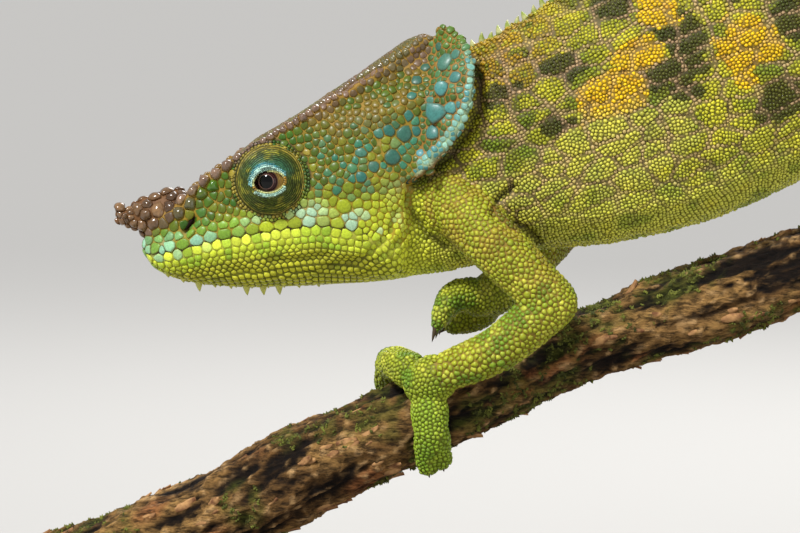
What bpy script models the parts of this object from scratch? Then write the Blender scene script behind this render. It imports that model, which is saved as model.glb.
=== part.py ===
"""Elephant-eared chameleon on a cut branch, a still, life-size display model.

All driving dimensions are in millimetres and become metres when a mesh is made.
+X runs from the snout to the tail, -Y is the animal's left side, and +Z is up.
The origin is the middle of the underside of the stand's base.
"""
import math

import bmesh
import bpy
import numpy as np
from mathutils import Vector

MM = 0.001

# Clearance between pieces that touch
GAP = 0.3

# The frame's origin, measured from the middle of the visible part of the head and trunk
SHIFT_X = -44.0

# Head, as (place along the head, value) pairs
HEAD_BACK = 0.6
HEAD_LEAN = 0.12
LEAN_LEVEL = 74.0
CREST_HEIGHT = [(-33.9, 75.6), (-32.0, 77.6), (-29.0, 80.4), (-25.7, 83.3), (-19.1, 87.8),
                (-12.5, 91.8), (-9.0, 94.0), (-5.0, 96.9), (0.6, 101.8)]
CREST_REACH = [(-33.9, 1.1), (-32.0, 2.3), (-29.0, 3.3), (-25.7, 4.2), (-19.1, 5.3),
               (-12.5, 5.8), (-5.0, 4.6), (0.6, 2.4)]
CROWN_DIP = [(-33.9, 0.1), (-27.0, 0.7), (-12.0, 1.0), (-6.0, 0.2), (0.6, -0.4)]
TEMPLE_REACH = [(-33.9, 1.3), (-27.0, 4.2), (-22.0, 5.3), (-17.0, 6.0), (-10.0, 7.0),
                (-4.0, 7.5), (0.6, 6.9)]
CHEEK_REACH = [(-33.9, 1.4), (-29.0, 4.2), (-24.0, 5.6), (-17.0, 6.8), (-10.0, 8.4),
               (-4.0, 9.2), (0.6, 8.5)]
LIP_REACH = [(-33.9, 1.5), (-32.5, 2.9), (-29.0, 4.7), (-24.0, 6.1), (-16.0, 7.6),
             (-9.0, 8.4), (-4.6, 8.6), (0.6, 7.6)]
JAW_REACH = [(-33.9, 1.0), (-29.0, 2.9), (-22.0, 4.5), (-14.0, 5.7), (-4.0, 6.3), (0.6, 6.0)]
MOUTH_HEIGHT = [(-35.0, 73.2), (-33.5, 73.1), (-29.0, 73.9), (-24.0, 75.3), (-15.8, 76.8),
                (-10.5, 77.4), (-4.6, 76.6), (3.0, 73.6)]
CHIN_HEIGHT = [(-33.9, 72.1), (-32.6, 70.8), (-30.6, 69.9), (-26.0, 69.0), (-20.0, 68.6),
               (-13.0, 68.8), (0.6, 69.6)]
HEAD_STATIONS = [-33.4, -32.6, -31.4, -29.8, -27.8, -25.5, -23.0, -20.5, -18.0, -15.5,
                 -13.0, -10.5, -8.0, -5.5, -3.0, -1.0, 0.6]
SNOUT_TIP = (-34.3, 74.0)

# Eyes
EYE_PLACE = (-16.9, 83.1)
TURRET_RADIUS = 4.9
TURRET_SEAT = 4.5
TURRET_RISE = 5.7
LID_OPENING = 1.55
EYEBALL_RADIUS = 1.75
EYEBALL_DEPTH = 1.95

# Horn on the snout
HORN_TIP = (-37.9, 77.6)
HORN_ROOT = (-28.6, 78.4)
HORN_HALF_HEIGHT = 3.4
HORN_HALF_WIDTH = 2.4
HORN_KNOBS = 8

# Nostrils
NOSTRIL_PLACE = (-27.4, 78.2)
NOSTRIL_RADIUS = 0.55
NOSTRIL_DEPTH = 0.8

# Ear flaps, the rim as (place, height) and the spread from the middle by height
FLAP_RIM = [(1.4, 82.4), (4.3, 84.9), (7.3, 88.3), (9.3, 92.8), (10.0, 97.2), (9.2, 100.7),
            (7.4, 102.6), (5.2, 103.1)]
FLAP_ROOT_FOOT = 83.4
FLAP_ROOT_TOP = 100.9
FLAP_SPREAD = [(82.4, 9.0), (88.0, 10.2), (94.0, 10.5), (99.0, 8.6), (103.1, 4.6)]
FLAP_ROOT_THICK = 1.3
FLAP_RIM_THICK = 0.9
FLAP_ROWS = 9
FLAP_COLUMNS = 6
FLAP_PLATE_ROWS = 5

# Neck and trunk
NECK_FRONT = HEAD_BACK + GAP
NECK_END = 5.0
TRUNK_END = 104.0
BACK_HEIGHT = [(0.6, 97.0), (5.0, 98.9), (9.0, 100.4), (18.2, 105.6), (30.0, 112.0),
               (45.0, 118.5), (60.0, 123.0), (75.0, 125.0), (90.0, 123.4), (97.0, 121.2),
               (104.0, 118.0)]
BELLY_HEIGHT = [(0.6, 69.6), (9.0, 71.2), (19.0, 73.6), (27.3, 74.2), (39.0, 76.8),
                (46.8, 79.7), (52.0, 82.3), (65.0, 87.5), (80.0, 92.8), (92.0, 97.0),
                (98.0, 100.5), (104.0, 105.8)]
TRUNK_REACH = [(0.6, 6.3), (5.0, 6.9), (10.0, 8.0), (20.0, 8.8), (35.0, 9.8), (50.0, 10.2),
               (65.0, 9.8), (80.0, 8.6), (92.0, 7.2), (98.0, 6.2), (104.0, 4.6)]
TRUNK_SIDES = 18
TRUNK_STATIONS = 22

# Tail, which ends in a flat curl
TAIL_TOP_PATH = [(104.3, 111.9), (113.0, 111.2), (122.0, 110.3), (131.0, 109.9)]
CURL_RADIUS = 15.5
CURL_TURNS = 3.0
CURL_SHRINK = 0.54
TAIL_RADIUS_AT_CURL = 3.0
CURL_DRIFT = -2.0
TAIL_CUTS = [0.0, 160.0, 340.0, 600.0, 1080.0]

# Perch, as (place, height) of its middle and (place, radius)
PERCH_MIDDLE = [(-62.0, 24.6), (-41.7, 31.4), (-27.0, 36.8), (-12.4, 44.3), (-6.1, 47.3),
                (7.8, 53.5), (24.1, 60.7), (41.7, 66.8), (51.5, 70.3), (80.0, 81.0),
                (114.0, 94.5)]
PERCH_RADIUS = [(-62.0, 5.4), (-41.7, 5.6), (-27.0, 5.9), (-9.0, 6.0), (7.8, 5.5),
                (24.1, 4.9), (41.7, 5.7), (51.5, 5.4), (80.0, 5.5), (114.0, 5.2)]
PERCH_SIDES = 12
PERCH_STATIONS = 26

# Limbs, as the line of each from its root to its wrist or ankle, and the grip of its foot.
# A grip is the place on the perch. Toe paths are (shift along the perch, degrees round it).
TOE_SPACING = {2: 2.1, 3: 1.75}
TOE_RADII = [1.5, 1.35, 1.1]
MITTEN_RADII = [2.3, 2.1, 1.8]
PALM_RADIUS = 2.9
TOE_LIFT = 2.75
CLAW_LENGTH = 2.2
CLAW_RADIUS = 0.6
LIMBS = {
    "fore_left": {
        "fore": True, "grip": 5.2, "palm_turn": 58.0, "inner_toes": 3, "outer_toes": 2,
        "line": [(6.5, -4.5, 81.0), (11.9, -9.6, 75.4), (19.8, -11.5, 67.6), (12.8, -10.8, 61.6),
                 (5.6, -8.6, 58.2)],
        "radii": [4.4, 3.8, 3.3, 3.0, 2.6],
        "inner": [(-1.2, 36.0), (-2.4, 8.0), (-3.4, -35.0), (-3.4, -78.0), (-2.6, -118.0)],
        "outer": [(-0.8, 80.0), (-1.8, 102.0), (-3.0, 134.0)],
    },
    "fore_right": {
        "fore": True, "inner_toes": 3, "outer_toes": 2,
        "line": [(6.5, 4.5, 81.0), (14.5, 12.0, 77.5), (22.0, 17.0, 75.0), (18.5, 11.5, 71.5),
                 (14.8, 6.0, 68.6), (12.0, 3.0, 67.2)],
        "radii": [4.4, 3.8, 3.2, 2.9, 2.5],
        "inner": [(10.6, 1.4, 66.9), (8.4, 0.2, 67.6), (6.2, -0.8, 66.6), (5.4, -1.2, 64.4)],
        "outer": [(11.0, 4.8, 65.2), (9.4, 6.2, 63.9), (7.2, 6.6, 63.0)],
        "across": (0.3, 1.0, 0.2),
    },
    "hind_left": {
        "fore": False, "grip": 91.0, "palm_turn": 56.0, "inner_toes": 2, "outer_toes": 3,
        "line": [(96.0, -4.0, 107.0), (89.5, -9.8, 106.6), (82.0, -14.0, 104.0), (86.2, -11.8, 98.4),
                 (90.2, -8.9, 92.6)],
        "radii": [5.0, 4.3, 3.4, 3.0, 2.5],
        "inner": [(-1.2, 34.0), (-2.2, 6.0), (-2.8, -35.0), (-2.8, -78.0), (-2.4, -118.0)],
        "outer": [(-0.4, 80.0), (-0.8, 104.0), (-1.4, 140.0)],
    },
    "hind_right": {
        "fore": False, "grip": 79.0, "palm_turn": 56.0, "inner_toes": 2, "outer_toes": 3,
        "line": [(96.0, 4.0, 107.0), (89.0, 10.0, 105.4), (81.5, 14.2, 101.8), (80.0, 12.0, 95.2),
                 (79.0, 9.2, 88.6)],
        "radii": [5.0, 4.3, 3.4, 3.0, 2.5],
        "inner": [(-1.2, 34.0), (-2.2, 6.0), (-2.8, -35.0), (-2.8, -78.0), (-2.4, -118.0)],
        "outer": [(-0.4, 80.0), (-0.8, 104.0), (-1.4, 140.0)],
    },
}

# Stand
BASE_LENGTH = 200.0
BASE_WIDTH = 84.0
BASE_THICK = 10.0
BASE_CORNER = 8.0
BASE_BEVEL = 1.2
ROD_RADIUS = 2.5
ROD_COLLAR_RADIUS = 5.5
ROD_COLLAR_THICK = 2.0
ROD_PLACES = {"stand_rod_low": -48.0, "stand_rod_high": 70.0}


# Colours of the real surfaces, as sRGB hex, with roughness and metallic values
FINISHES = {
    "green_skin": ("8BA025", 0.6, 0.0),
    "horn_knobs": ("6B4A3C", 0.45, 0.0),
    "eye_skin": ("4F6B33", 0.6, 0.0),
    "eyeball": ("3A1E0E", 0.1, 0.0),
    "flap_skin": ("5E8A72", 0.6, 0.0),
    "bark": ("6E4A38", 0.9, 0.0),
    "base_wood": ("3B2A20", 0.5, 0.0),
    "rod_brass": ("B08D57", 0.35, 1.0),
}


def smooth_curve(points):
    """A smooth function of place through a few points, which never overshoots them."""
    places = [float(p[0]) for p in points]
    values = [float(p[1]) for p in points]
    steps = [b - a for a, b in zip(places, places[1:])]
    slopes = [(b - a) / s for a, b, s in zip(values, values[1:], steps)]
    tangents = [slopes[0]] + [0.0] * (len(points) - 2) + [slopes[-1]]
    for i in range(1, len(points) - 1):
        if slopes[i - 1] * slopes[i] > 0.0:
            tangents[i] = 2.0 * slopes[i - 1] * slopes[i] / (slopes[i - 1] + slopes[i])

    def value(place):
        i = int(np.clip(np.searchsorted(places, place) - 1, 0, len(steps) - 1))
        t = min(max((place - places[i]) / steps[i], 0.0), 1.0)
        rise = t * t * (3.0 - 2.0 * t)
        bend = steps[i] * (tangents[i] * t * (1 - t) ** 2 - tangents[i + 1] * t * t * (1 - t))
        return values[i] + (values[i + 1] - values[i]) * rise + bend

    return value


def smooth_path(points, count):
    """Evenly numbered points on a smooth path through a few points."""
    corners = [Vector(p) for p in points]
    corners = [corners[0] * 2 - corners[1]] + corners + [corners[-1] * 2 - corners[-2]]
    spans = len(points) - 1
    path = []
    for k in range(count):
        t = k / (count - 1) * spans
        i = min(int(t), spans - 1)
        t -= i
        a, b, c, d = corners[i:i + 4]
        path.append(0.5 * (2 * b + (c - a) * t + (2 * a - 5 * b + 4 * c - d) * t * t
                           + (3 * b - a - 3 * c + d) * t ** 3))
    return path


def make_object(name, points, faces, finish=None):
    """One object from points in millimetres, with its faces turned outwards."""
    mesh = bpy.data.meshes.new(name)
    moved = [((p[0] + SHIFT_X) * MM, p[1] * MM, p[2] * MM) for p in points]
    mesh.from_pydata(moved, [], faces)
    work = bmesh.new()
    work.from_mesh(mesh)
    bmesh.ops.recalc_face_normals(work, faces=work.faces)
    work.to_mesh(mesh)
    work.free()
    thing = bpy.data.objects.new(name, mesh)
    bpy.context.scene.collection.objects.link(thing)
    if finish:
        mesh.materials.append(material(finish))
    return thing


def material(name):
    """The Principled material of one finish, made once."""
    if name in bpy.data.materials:
        return bpy.data.materials[name]
    colour, roughness, metallic = FINISHES[name]
    made = bpy.data.materials.new(name)
    made.use_nodes = True
    shader = made.node_tree.nodes["Principled BSDF"]
    parts = [int(colour[i:i + 2], 16) / 255.0 for i in (0, 2, 4)]
    linear = [c / 12.92 if c <= 0.04045 else ((c + 0.055) / 1.055) ** 2.4 for c in parts]
    shader.inputs["Base Color"].default_value = (*linear, 1.0)
    shader.inputs["Roughness"].default_value = roughness
    shader.inputs["Metallic"].default_value = metallic
    return made


def ring_object(name, rings, finish=None, start=None, end=None):
    """A closed solid through rings of equal point counts, with flat or pointed ends."""
    count = len(rings[0])
    points = [Vector(p) for ring in rings for p in ring]
    first = Vector(start) if start else sum((Vector(p) for p in rings[0]), Vector()) / count
    last = Vector(end) if end else sum((Vector(p) for p in rings[-1]), Vector()) / count
    points += [first, last]
    faces = []
    for k in range(len(rings) - 1):
        for i in range(count):
            j = (i + 1) % count
            faces.append((k * count + i, k * count + j, (k + 1) * count + j, (k + 1) * count + i))
    tail = (len(rings) - 1) * count
    for i in range(count):
        j = (i + 1) % count
        faces.append((len(points) - 2, j, i))
        faces.append((len(points) - 1, tail + i, tail + j))
    return make_object(name, points, faces, finish)


def tube_rings(path, radii, sides, squash=1.0, up=(0.0, 1.0, 0.0), facings=None):
    """Rings square to a path. Squash widens them along the direction nearest to up.

    Facings, where given, are the directions of the first and last rings.
    """
    rings = []
    side = Vector(up)
    for k, centre in enumerate(path):
        ahead = (path[min(k + 1, len(path) - 1)] - path[max(k - 1, 0)]).normalized()
        if facings and k in (0, len(path) - 1):
            ahead = facings[0] if k == 0 else facings[1]
        side = (side - ahead * side.dot(ahead)).normalized()
        other = ahead.cross(side)
        radius = radii[k]
        wide = squash[k] if isinstance(squash, list) else squash
        rings.append([centre + side * (radius * wide * math.cos(a)) + other * (radius * math.sin(a))
                      for a in (2 * math.pi * i / sides for i in range(sides))])
    return rings


def capsule(name, points, radii, finish=None, sides=12, count=7, grow=0.0):
    """A limb length with round ends, its radius passing smoothly through the given ones."""
    path = smooth_path(points, count)
    width = smooth_curve([(i / (len(radii) - 1), r + grow) for i, r in enumerate(radii)])
    sizes = [width(k / (count - 1)) for k in range(count)]
    front = (path[0] - path[1]).normalized()
    back = (path[-1] - path[-2]).normalized()
    turns = (0.35, 0.75)
    head = [path[0] + front * (sizes[0] * math.sin(t * math.pi / 2)) for t in reversed(turns)]
    tail = [path[-1] + back * (sizes[-1] * math.sin(t * math.pi / 2)) for t in turns]
    head_sizes = [sizes[0] * math.cos(t * math.pi / 2) for t in reversed(turns)]
    tail_sizes = [sizes[-1] * math.cos(t * math.pi / 2) for t in turns]
    rings = tube_rings(head + path + tail, head_sizes + sizes + tail_sizes, sides)
    return ring_object(name, rings, finish, path[0] + front * sizes[0], path[-1] + back * sizes[-1])


def cone(name, root, tip, radius, sides=6, waist=0.6, finish=None):
    """A blunt spine or knob from a sunk root to its tip."""
    root = Vector(root)
    tip = Vector(tip)
    path = [root, root.lerp(tip, 0.62), root.lerp(tip, 0.9)]
    rings = tube_rings(path, [radius, radius * waist, radius * waist * 0.45], sides)
    return ring_object(name, rings, finish, None, tip)


def half_space(name, point, facing):
    """A large block that fills the side of a plane which facing points to."""
    size = 60.0
    facing = Vector(facing).normalized()
    turn = facing.to_track_quat("Z", "Y").to_matrix()
    corners = [Vector((x, y, z)) for z in (0.0, size) for x, y in
               ((-size, -size), (size, -size), (size, size), (-size, size))]
    points = [Vector(point) + turn @ c for c in corners]
    faces = [(0, 1, 2, 3), (4, 5, 6, 7), (0, 1, 5, 4), (1, 2, 6, 5), (2, 3, 7, 6), (3, 0, 4, 7)]
    return make_object(name, points, faces)


def is_closed(mesh):
    """Whether every edge of a mesh has exactly two faces."""
    work = bmesh.new()
    work.from_mesh(mesh)
    closed = len(work.faces) > 3 and all(len(edge.link_faces) == 2 for edge in work.edges)
    work.free()
    return closed


def combine(thing, tools, operation):
    """Applies one Boolean of a group of closed objects to a node, and keeps its main body.

    The exact solver comes first. Where it leaves an open edge, the manifold one is used.
    """
    group = bpy.data.collections.new("tools")
    bpy.context.scene.collection.children.link(group)
    for tool in tools:
        group.objects.link(tool)
    step = thing.modifiers.new("combine", "BOOLEAN")
    step.operand_type = "COLLECTION"
    step.collection = group
    step.operation = operation
    for solver in ("EXACT", "MANIFOLD"):
        step.solver = solver
        bpy.context.view_layer.update()
        graph = bpy.context.evaluated_depsgraph_get()
        finished = bpy.data.meshes.new_from_object(thing.evaluated_get(graph))
        if is_closed(finished):
            break
    thing.modifiers.clear()
    old = thing.data
    thing.data = finished
    bpy.data.meshes.remove(old)
    for tool in tools:
        bpy.data.objects.remove(tool)
    bpy.data.collections.remove(group)
    keep_main_body(thing)
    return thing


def keep_main_body(thing):
    """Drops all but the largest closed surface of a node."""
    work = bmesh.new()
    work.from_mesh(thing.data)
    waiting = set(work.verts)
    bodies = []
    while waiting:
        stack = [waiting.pop()]
        body = set(stack)
        while stack:
            for edge in stack.pop().link_edges:
                for point in edge.verts:
                    if point in waiting:
                        waiting.discard(point)
                        body.add(point)
                        stack.append(point)
        bodies.append(body)

    def spread(body):
        spans = [[p.co[axis] for p in body] for axis in range(3)]
        return sum(max(s) - min(s) for s in spans)

    bodies.sort(key=spread)
    for body in bodies[:-1]:
        bmesh.ops.delete(work, geom=list(body), context="VERTS")
    work.to_mesh(thing.data)
    work.free()


def lean(place):
    """How far the head and neck sections lean back at a place, from 0 to 1."""
    if place <= HEAD_BACK:
        return min(max((place + 10.0) / (HEAD_BACK + 10.0), 0.0), 1.0)
    return min(max((NECK_END - place) / (NECK_END - NECK_FRONT), 0.0), 1.0)


def leaned(place, height):
    """The place of a section's point after its section leans back."""
    return place + lean(place) * HEAD_LEAN * (height - LEAN_LEVEL)


CREST = smooth_curve(CREST_HEIGHT)
CREST_SIDE = smooth_curve(CREST_REACH)
DIP = smooth_curve(CROWN_DIP)
TEMPLE = smooth_curve(TEMPLE_REACH)
CHEEK = smooth_curve(CHEEK_REACH)
LIP = smooth_curve(LIP_REACH)
JAW = smooth_curve(JAW_REACH)
MOUTH = smooth_curve(MOUTH_HEIGHT)
CHIN = smooth_curve(CHIN_HEIGHT)
BACK = smooth_curve(BACK_HEIGHT)
BELLY = smooth_curve(BELLY_HEIGHT)
TRUNK = smooth_curve(TRUNK_REACH)
PERCH_LINE = smooth_curve(PERCH_MIDDLE)
PERCH_SIZE = smooth_curve(PERCH_RADIUS)
SPREAD = smooth_curve(FLAP_SPREAD)
RIM_LINE = smooth_path([(x, 0.0, z) for x, z in FLAP_RIM], 37)


def head_outline(place):
    """Half of a head section, from the crown to the chin, as (reach, height) pairs."""
    crest = CREST(place)
    mouth = MOUTH(place)
    chin = CHIN(place)
    side = CREST_SIDE(place)
    lip = LIP(place)
    tall = crest - mouth
    deep = mouth - chin
    return [
        (0.0, crest - DIP(place)),
        (side * 0.7, crest - DIP(place) * 0.6),
        (side, crest),
        (side + 0.35, crest - 0.09 * tall),
        (TEMPLE(place), crest - 0.28 * tall),
        (CHEEK(place) * 0.5 + TEMPLE(place) * 0.5, crest - 0.5 * tall),
        (CHEEK(place), crest - 0.68 * tall),
        (lip - 0.15, mouth + 0.17 * tall),
        (lip, mouth + 0.06 * tall),
        (lip - 0.1, mouth),
        (lip - 0.05, mouth - 0.16 * deep),
        (lip - 0.6, mouth - 0.42 * deep),
        (JAW(place), chin + 0.2 * deep),
        (JAW(place) * 0.5, chin + 0.03 * deep),
        (0.0, chin),
    ]


def head_rings(grow=0.0):
    """The rings of the whole head, grown outwards where a neighbour is cut by it."""
    rings = []
    for place in HEAD_STATIONS:
        half = head_outline(place)
        middle = (half[0][1] + half[-1][1]) / 2
        grown = [(reach + grow * min(reach, 1.0), height + grow * math.copysign(1.0, height - middle))
                 for reach, height in half]
        near = [(leaned(place, h), -r, h) for r, h in grown]
        far = [(leaned(place, h), r, h) for r, h in reversed(grown[1:-1])]
        rings.append(near + far)
    return rings


def head_solid(name, grow=0.0):
    """The whole head, closed at the snout and flat at the back."""
    tip = (SNOUT_TIP[0] - grow, 0.0, SNOUT_TIP[1])
    return ring_object(name, head_rings(grow), "green_skin", tip, None)


def mouth_block(name, above):
    """The space above or below the line of the mouth, as a cutter."""
    edge_shift = GAP / 2 if above else -GAP / 2
    far_level = 120.0 if above else 50.0
    places = [-40.0 + 2.0 * k for k in range(26)]
    rings = []
    for place in places:
        level = MOUTH(place) - edge_shift
        rings.append([(place, -15.0, level), (place, 15.0, level),
                      (place, 15.0, far_level), (place, -15.0, far_level)])
    return ring_object(name, rings)


def drum(name, middle, axis, radius, depth, sides=20):
    """A plain round cutter that runs outwards from its middle along its axis."""
    middle = Vector(middle)
    path = [middle, middle + Vector(axis).normalized() * depth]
    return ring_object(name, tube_rings(path, [radius, radius], sides, up=(0.0, 0.0, 1.0)))


def side_reach(place, height):
    """How far the head's side stands from the middle at one place and height."""
    half = head_outline(place)
    for (r0, h0), (r1, h1) in zip(half, half[1:]):
        if h1 <= height <= h0:
            return r0 + (r1 - r0) * (h0 - height) / max(h0 - h1, 1e-6)
    return 0.0


def crest_knobs():
    """Rows of blunt knobs along both side crests of the head, growing towards the casque."""
    knobs = []
    for side in (-1, 1):
        for k in range(12):
            place = -27.6 + 2.1 * k
            height = CREST(place)
            reach = CREST_SIDE(place)
            size = 0.95 + 0.2 * math.sin(2.3 * k + side)
            root = (leaned(place, height), side * (reach - 0.3), height - 0.7)
            tip = (leaned(place, height), side * (reach + 0.4), height + size * 0.7)
            knobs.append(cone("knob", root, tip, size, 6, 0.85))
    return knobs


def build_head():
    """The head above the mouth, with the eye sockets, nostrils and knobbed crests."""
    head = head_solid("head")
    cutters = [mouth_block("below", False)]
    for side in (-1, 1):
        socket = (EYE_PLACE[0], side * (TURRET_SEAT - GAP), EYE_PLACE[1])
        cutters.append(drum("socket", socket, (0, side, 0), TURRET_RADIUS + GAP, 12.0))
        reach = side_reach(*NOSTRIL_PLACE)
        hole = (NOSTRIL_PLACE[0], side * (reach - NOSTRIL_DEPTH), NOSTRIL_PLACE[1])
        cutters.append(drum("nostril", hole, (0.35 * -1, side, 0.1), NOSTRIL_RADIUS, 3.0, 6))
    combine(head, crest_knobs(), "UNION")
    for cutter in cutters:
        combine(head, [cutter], "DIFFERENCE")
    return head


def build_jaw():
    """The lower jaw and throat, with the row of soft cones under the chin."""
    jaw = head_solid("lower_jaw")
    combine(jaw, [mouth_block("above", True)], "DIFFERENCE")
    cones = []
    for k in range(8):
        place = -28.5 + 2.4 * k
        long = 1.0 + 0.45 * math.sin(1.9 * k)
        root = (place, 0.0, CHIN(place) + 0.7)
        cones.append(cone("chin_cone", root, (place - 0.2, 0.0, CHIN(place) - long), 0.55, 6, 0.7))
    combine(jaw, cones, "UNION")
    return jaw


def build_horn():
    """The knobbed horn on the snout, cut where it meets the head."""
    root = Vector((HORN_ROOT[0], 0.0, HORN_ROOT[1]))
    tip = Vector((HORN_TIP[0], 0.0, HORN_TIP[1]))
    path = [root.lerp(tip, t) for t in (0.0, 0.3, 0.6, 0.85)]
    sizes = [HORN_HALF_HEIGHT * s for s in (1.0, 0.92, 0.66, 0.34)]
    wide = HORN_HALF_WIDTH / HORN_HALF_HEIGHT
    rings = tube_rings(path, sizes, 12, wide)
    horn = ring_object("snout_horn", rings, "horn_knobs", None, tip)
    knobs = []
    for k in range(HORN_KNOBS):
        share = 0.3 + 0.62 * k / (HORN_KNOBS - 1)
        turn = math.radians((20.0, 75.0, -75.0, -20.0)[k % 4])
        high = HORN_HALF_HEIGHT * (1.05 - 0.72 * share)
        middle = root.lerp(tip, share)
        out = Vector((0.0, math.sin(turn), math.cos(turn)))
        skin = middle + Vector((0.0, out.y * high * wide, out.z * high))
        knobs.append(cone("knob", skin - out * 0.6, skin + out * 0.75, 0.85 - 0.25 * share, 6, 0.85))
    combine(horn, knobs, "UNION")
    combine(horn, [head_solid("grown_head", GAP)], "DIFFERENCE")
    return horn


def flap_point(side, u, v, inwards):
    """A point on an ear flap, u from its foot to its top and v from its root to its rim."""
    root_height = FLAP_ROOT_FOOT + (FLAP_ROOT_TOP - FLAP_ROOT_FOOT) * u
    root_reach = side_reach(HEAD_BACK, root_height) - 0.2
    root = Vector((leaned(HEAD_BACK, root_height) + GAP, root_reach, root_height))
    edge = RIM_LINE[int(round(u * (len(RIM_LINE) - 1)))]
    point = root.lerp(Vector((edge.x, SPREAD(edge.z), edge.z)), v)
    point.y += 0.5 * math.sin(math.pi * v) * math.sin(math.pi * u)
    point.y -= inwards * (FLAP_ROOT_THICK + (FLAP_RIM_THICK - FLAP_ROOT_THICK) * v)
    point.y *= side
    return point


def flap_plates(side):
    """Rounded plates raised on the outside of an ear flap, the largest along its middle."""
    plates = []
    for row, v in enumerate((0.3, 0.58, 0.84)):
        for k in range(FLAP_PLATE_ROWS):
            u = 0.14 + 0.76 * (k + 0.5 * (row % 2)) / FLAP_PLATE_ROWS
            skin = flap_point(side, u, v, 0.0)
            radius = 1.2 - 0.3 * abs(u - 0.55) - 0.12 * row
            out = Vector((-0.1, side, 0.1)).normalized()
            line = [skin - out * 0.45, skin + out * 0.1, skin + out * 0.3]
            rings = tube_rings(line, [radius * 0.7, radius, radius * 0.8], 6, up=(0.0, 0.0, 1.0))
            plates.append(ring_object("plate", rings))
    return plates


def build_flap(name, side):
    """One ear flap, a thin curved plate that hangs back from the head over the neck."""
    rings = []
    for i in range(FLAP_ROWS):
        u = i / (FLAP_ROWS - 1)
        shares = [j / (FLAP_COLUMNS - 1) for j in range(FLAP_COLUMNS)]
        outer = [flap_point(side, u, v, 0.0) for v in shares]
        inner = [flap_point(side, u, v, 1.0) for v in reversed(shares)]
        rings.append(outer + inner)
    flap = ring_object(name, rings, "flap_skin")
    combine(flap, flap_plates(side), "UNION")
    return flap


def build_eye(tag, side):
    """One eye turret with a round lid opening, and the eyeball that sits in it."""
    seat = Vector((EYE_PLACE[0], side * TURRET_SEAT, EYE_PLACE[1]))
    out = Vector((0.0, side, 0.0))
    ball_level = TURRET_RISE - EYEBALL_DEPTH
    pocket = EYEBALL_RADIUS + GAP
    wall = [(TURRET_RADIUS, 0.0), (TURRET_RADIUS, 1.5), (4.75, 2.5), (4.25, 3.6), (3.4, 4.6),
            (2.5, 5.3), (LID_OPENING + 0.35, TURRET_RISE), (LID_OPENING, TURRET_RISE - 0.25)]
    wall += [(pocket * math.sin(a), ball_level + pocket * math.cos(a))
             for a in (math.radians(d) for d in (62, 90, 120, 150))]
    sides = 18
    rings = []
    for radius, level in wall:
        rings.append([seat + out * level + Vector((radius * math.cos(a), 0.0, radius * math.sin(a)))
                      for a in (2 * math.pi * i / sides for i in range(sides))])
    floor = seat + out * (ball_level - pocket)
    turret = ring_object("eye_turret_" + tag, rings, "eye_skin", seat, floor)
    middle = seat + out * ball_level
    ball_rings = []
    for k in range(1, 7):
        a = math.pi * k / 7
        r = EYEBALL_RADIUS * math.sin(a)
        ball_rings.append([middle + out * (EYEBALL_RADIUS * math.cos(a))
                           + Vector((r * math.cos(b), 0.0, r * math.sin(b)))
                           for b in (2 * math.pi * i / 12 for i in range(12))])
    ball = ring_object("eyeball_" + tag, ball_rings, "eyeball",
                       middle + out * EYEBALL_RADIUS, middle - out * EYEBALL_RADIUS)
    return turret, ball


def trunk_ring(place, grow=0.0):
    """One section of the neck and trunk, narrower towards the back than the belly."""
    top = BACK(place) + grow
    foot = BELLY(place) - grow
    reach = TRUNK(place) + grow
    middle = (top + foot) / 2
    half = (top - foot) / 2
    ring = []
    for i in range(TRUNK_SIDES):
        a = 2 * math.pi * i / TRUNK_SIDES
        height = middle + half * math.cos(a)
        wide = math.sin(a) * (1.0 - 0.14 * math.cos(a))
        ring.append((leaned(place, height), reach * wide, height))
    return ring


def trunk_solid(name, start, end, count, grow=0.0):
    """A length of the neck or trunk with flat ends."""
    places = [start + (end - start) * k / (count - 1) for k in range(count)]
    rings = [trunk_ring(p, grow) for p in places]
    return ring_object(name, rings, "green_skin")


def dorsal_spines(start, end, count):
    """The row of small spines on the back, largest behind the head."""
    spines = []
    for k in range(count):
        place = start + (end - start) * k / (count - 1)
        slope = (BACK(place + 0.5) - BACK(place - 0.5))
        upright = Vector((-slope, 0.0, 1.0)).normalized()
        foot = Vector((leaned(place, BACK(place)), 0.0, BACK(place)))
        long = 1.25 - 0.6 * k / (count - 1) + 0.12 * math.sin(2.7 * k)
        spines.append(cone("spine", foot - upright * 0.8, foot + upright * long, 0.62, 5, 0.55))
    return spines


def build_trunk():
    """The neck and the torso, each with its part of the row of spines."""
    neck = trunk_solid("neck", NECK_FRONT, NECK_END - GAP / 2, 4)
    torso = trunk_solid("torso", NECK_END + GAP / 2, TRUNK_END, TRUNK_STATIONS)
    combine(torso, dorsal_spines(7.5, 62.0, 24), "UNION")
    return neck, torso


def curl_point(degrees):
    """A point on the middle line of the tail's curl."""
    turn = math.radians(degrees)
    share = degrees / (360.0 * CURL_TURNS)
    radius = CURL_RADIUS * CURL_SHRINK ** (degrees / 360.0)
    top_x, top_z = TAIL_TOP_PATH[-1]
    return Vector((top_x + radius * math.sin(turn), CURL_DRIFT * share,
                   top_z - CURL_RADIUS + radius * math.cos(turn)))


def curl_radius(degrees):
    """The tail's own radius on the curl."""
    return TAIL_RADIUS_AT_CURL * CURL_SHRINK ** (degrees / 360.0)


def curl_facing(degrees):
    """The direction of the curl's middle line towards the tip."""
    return (curl_point(degrees + 0.5) - curl_point(degrees - 0.5)).normalized()


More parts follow.
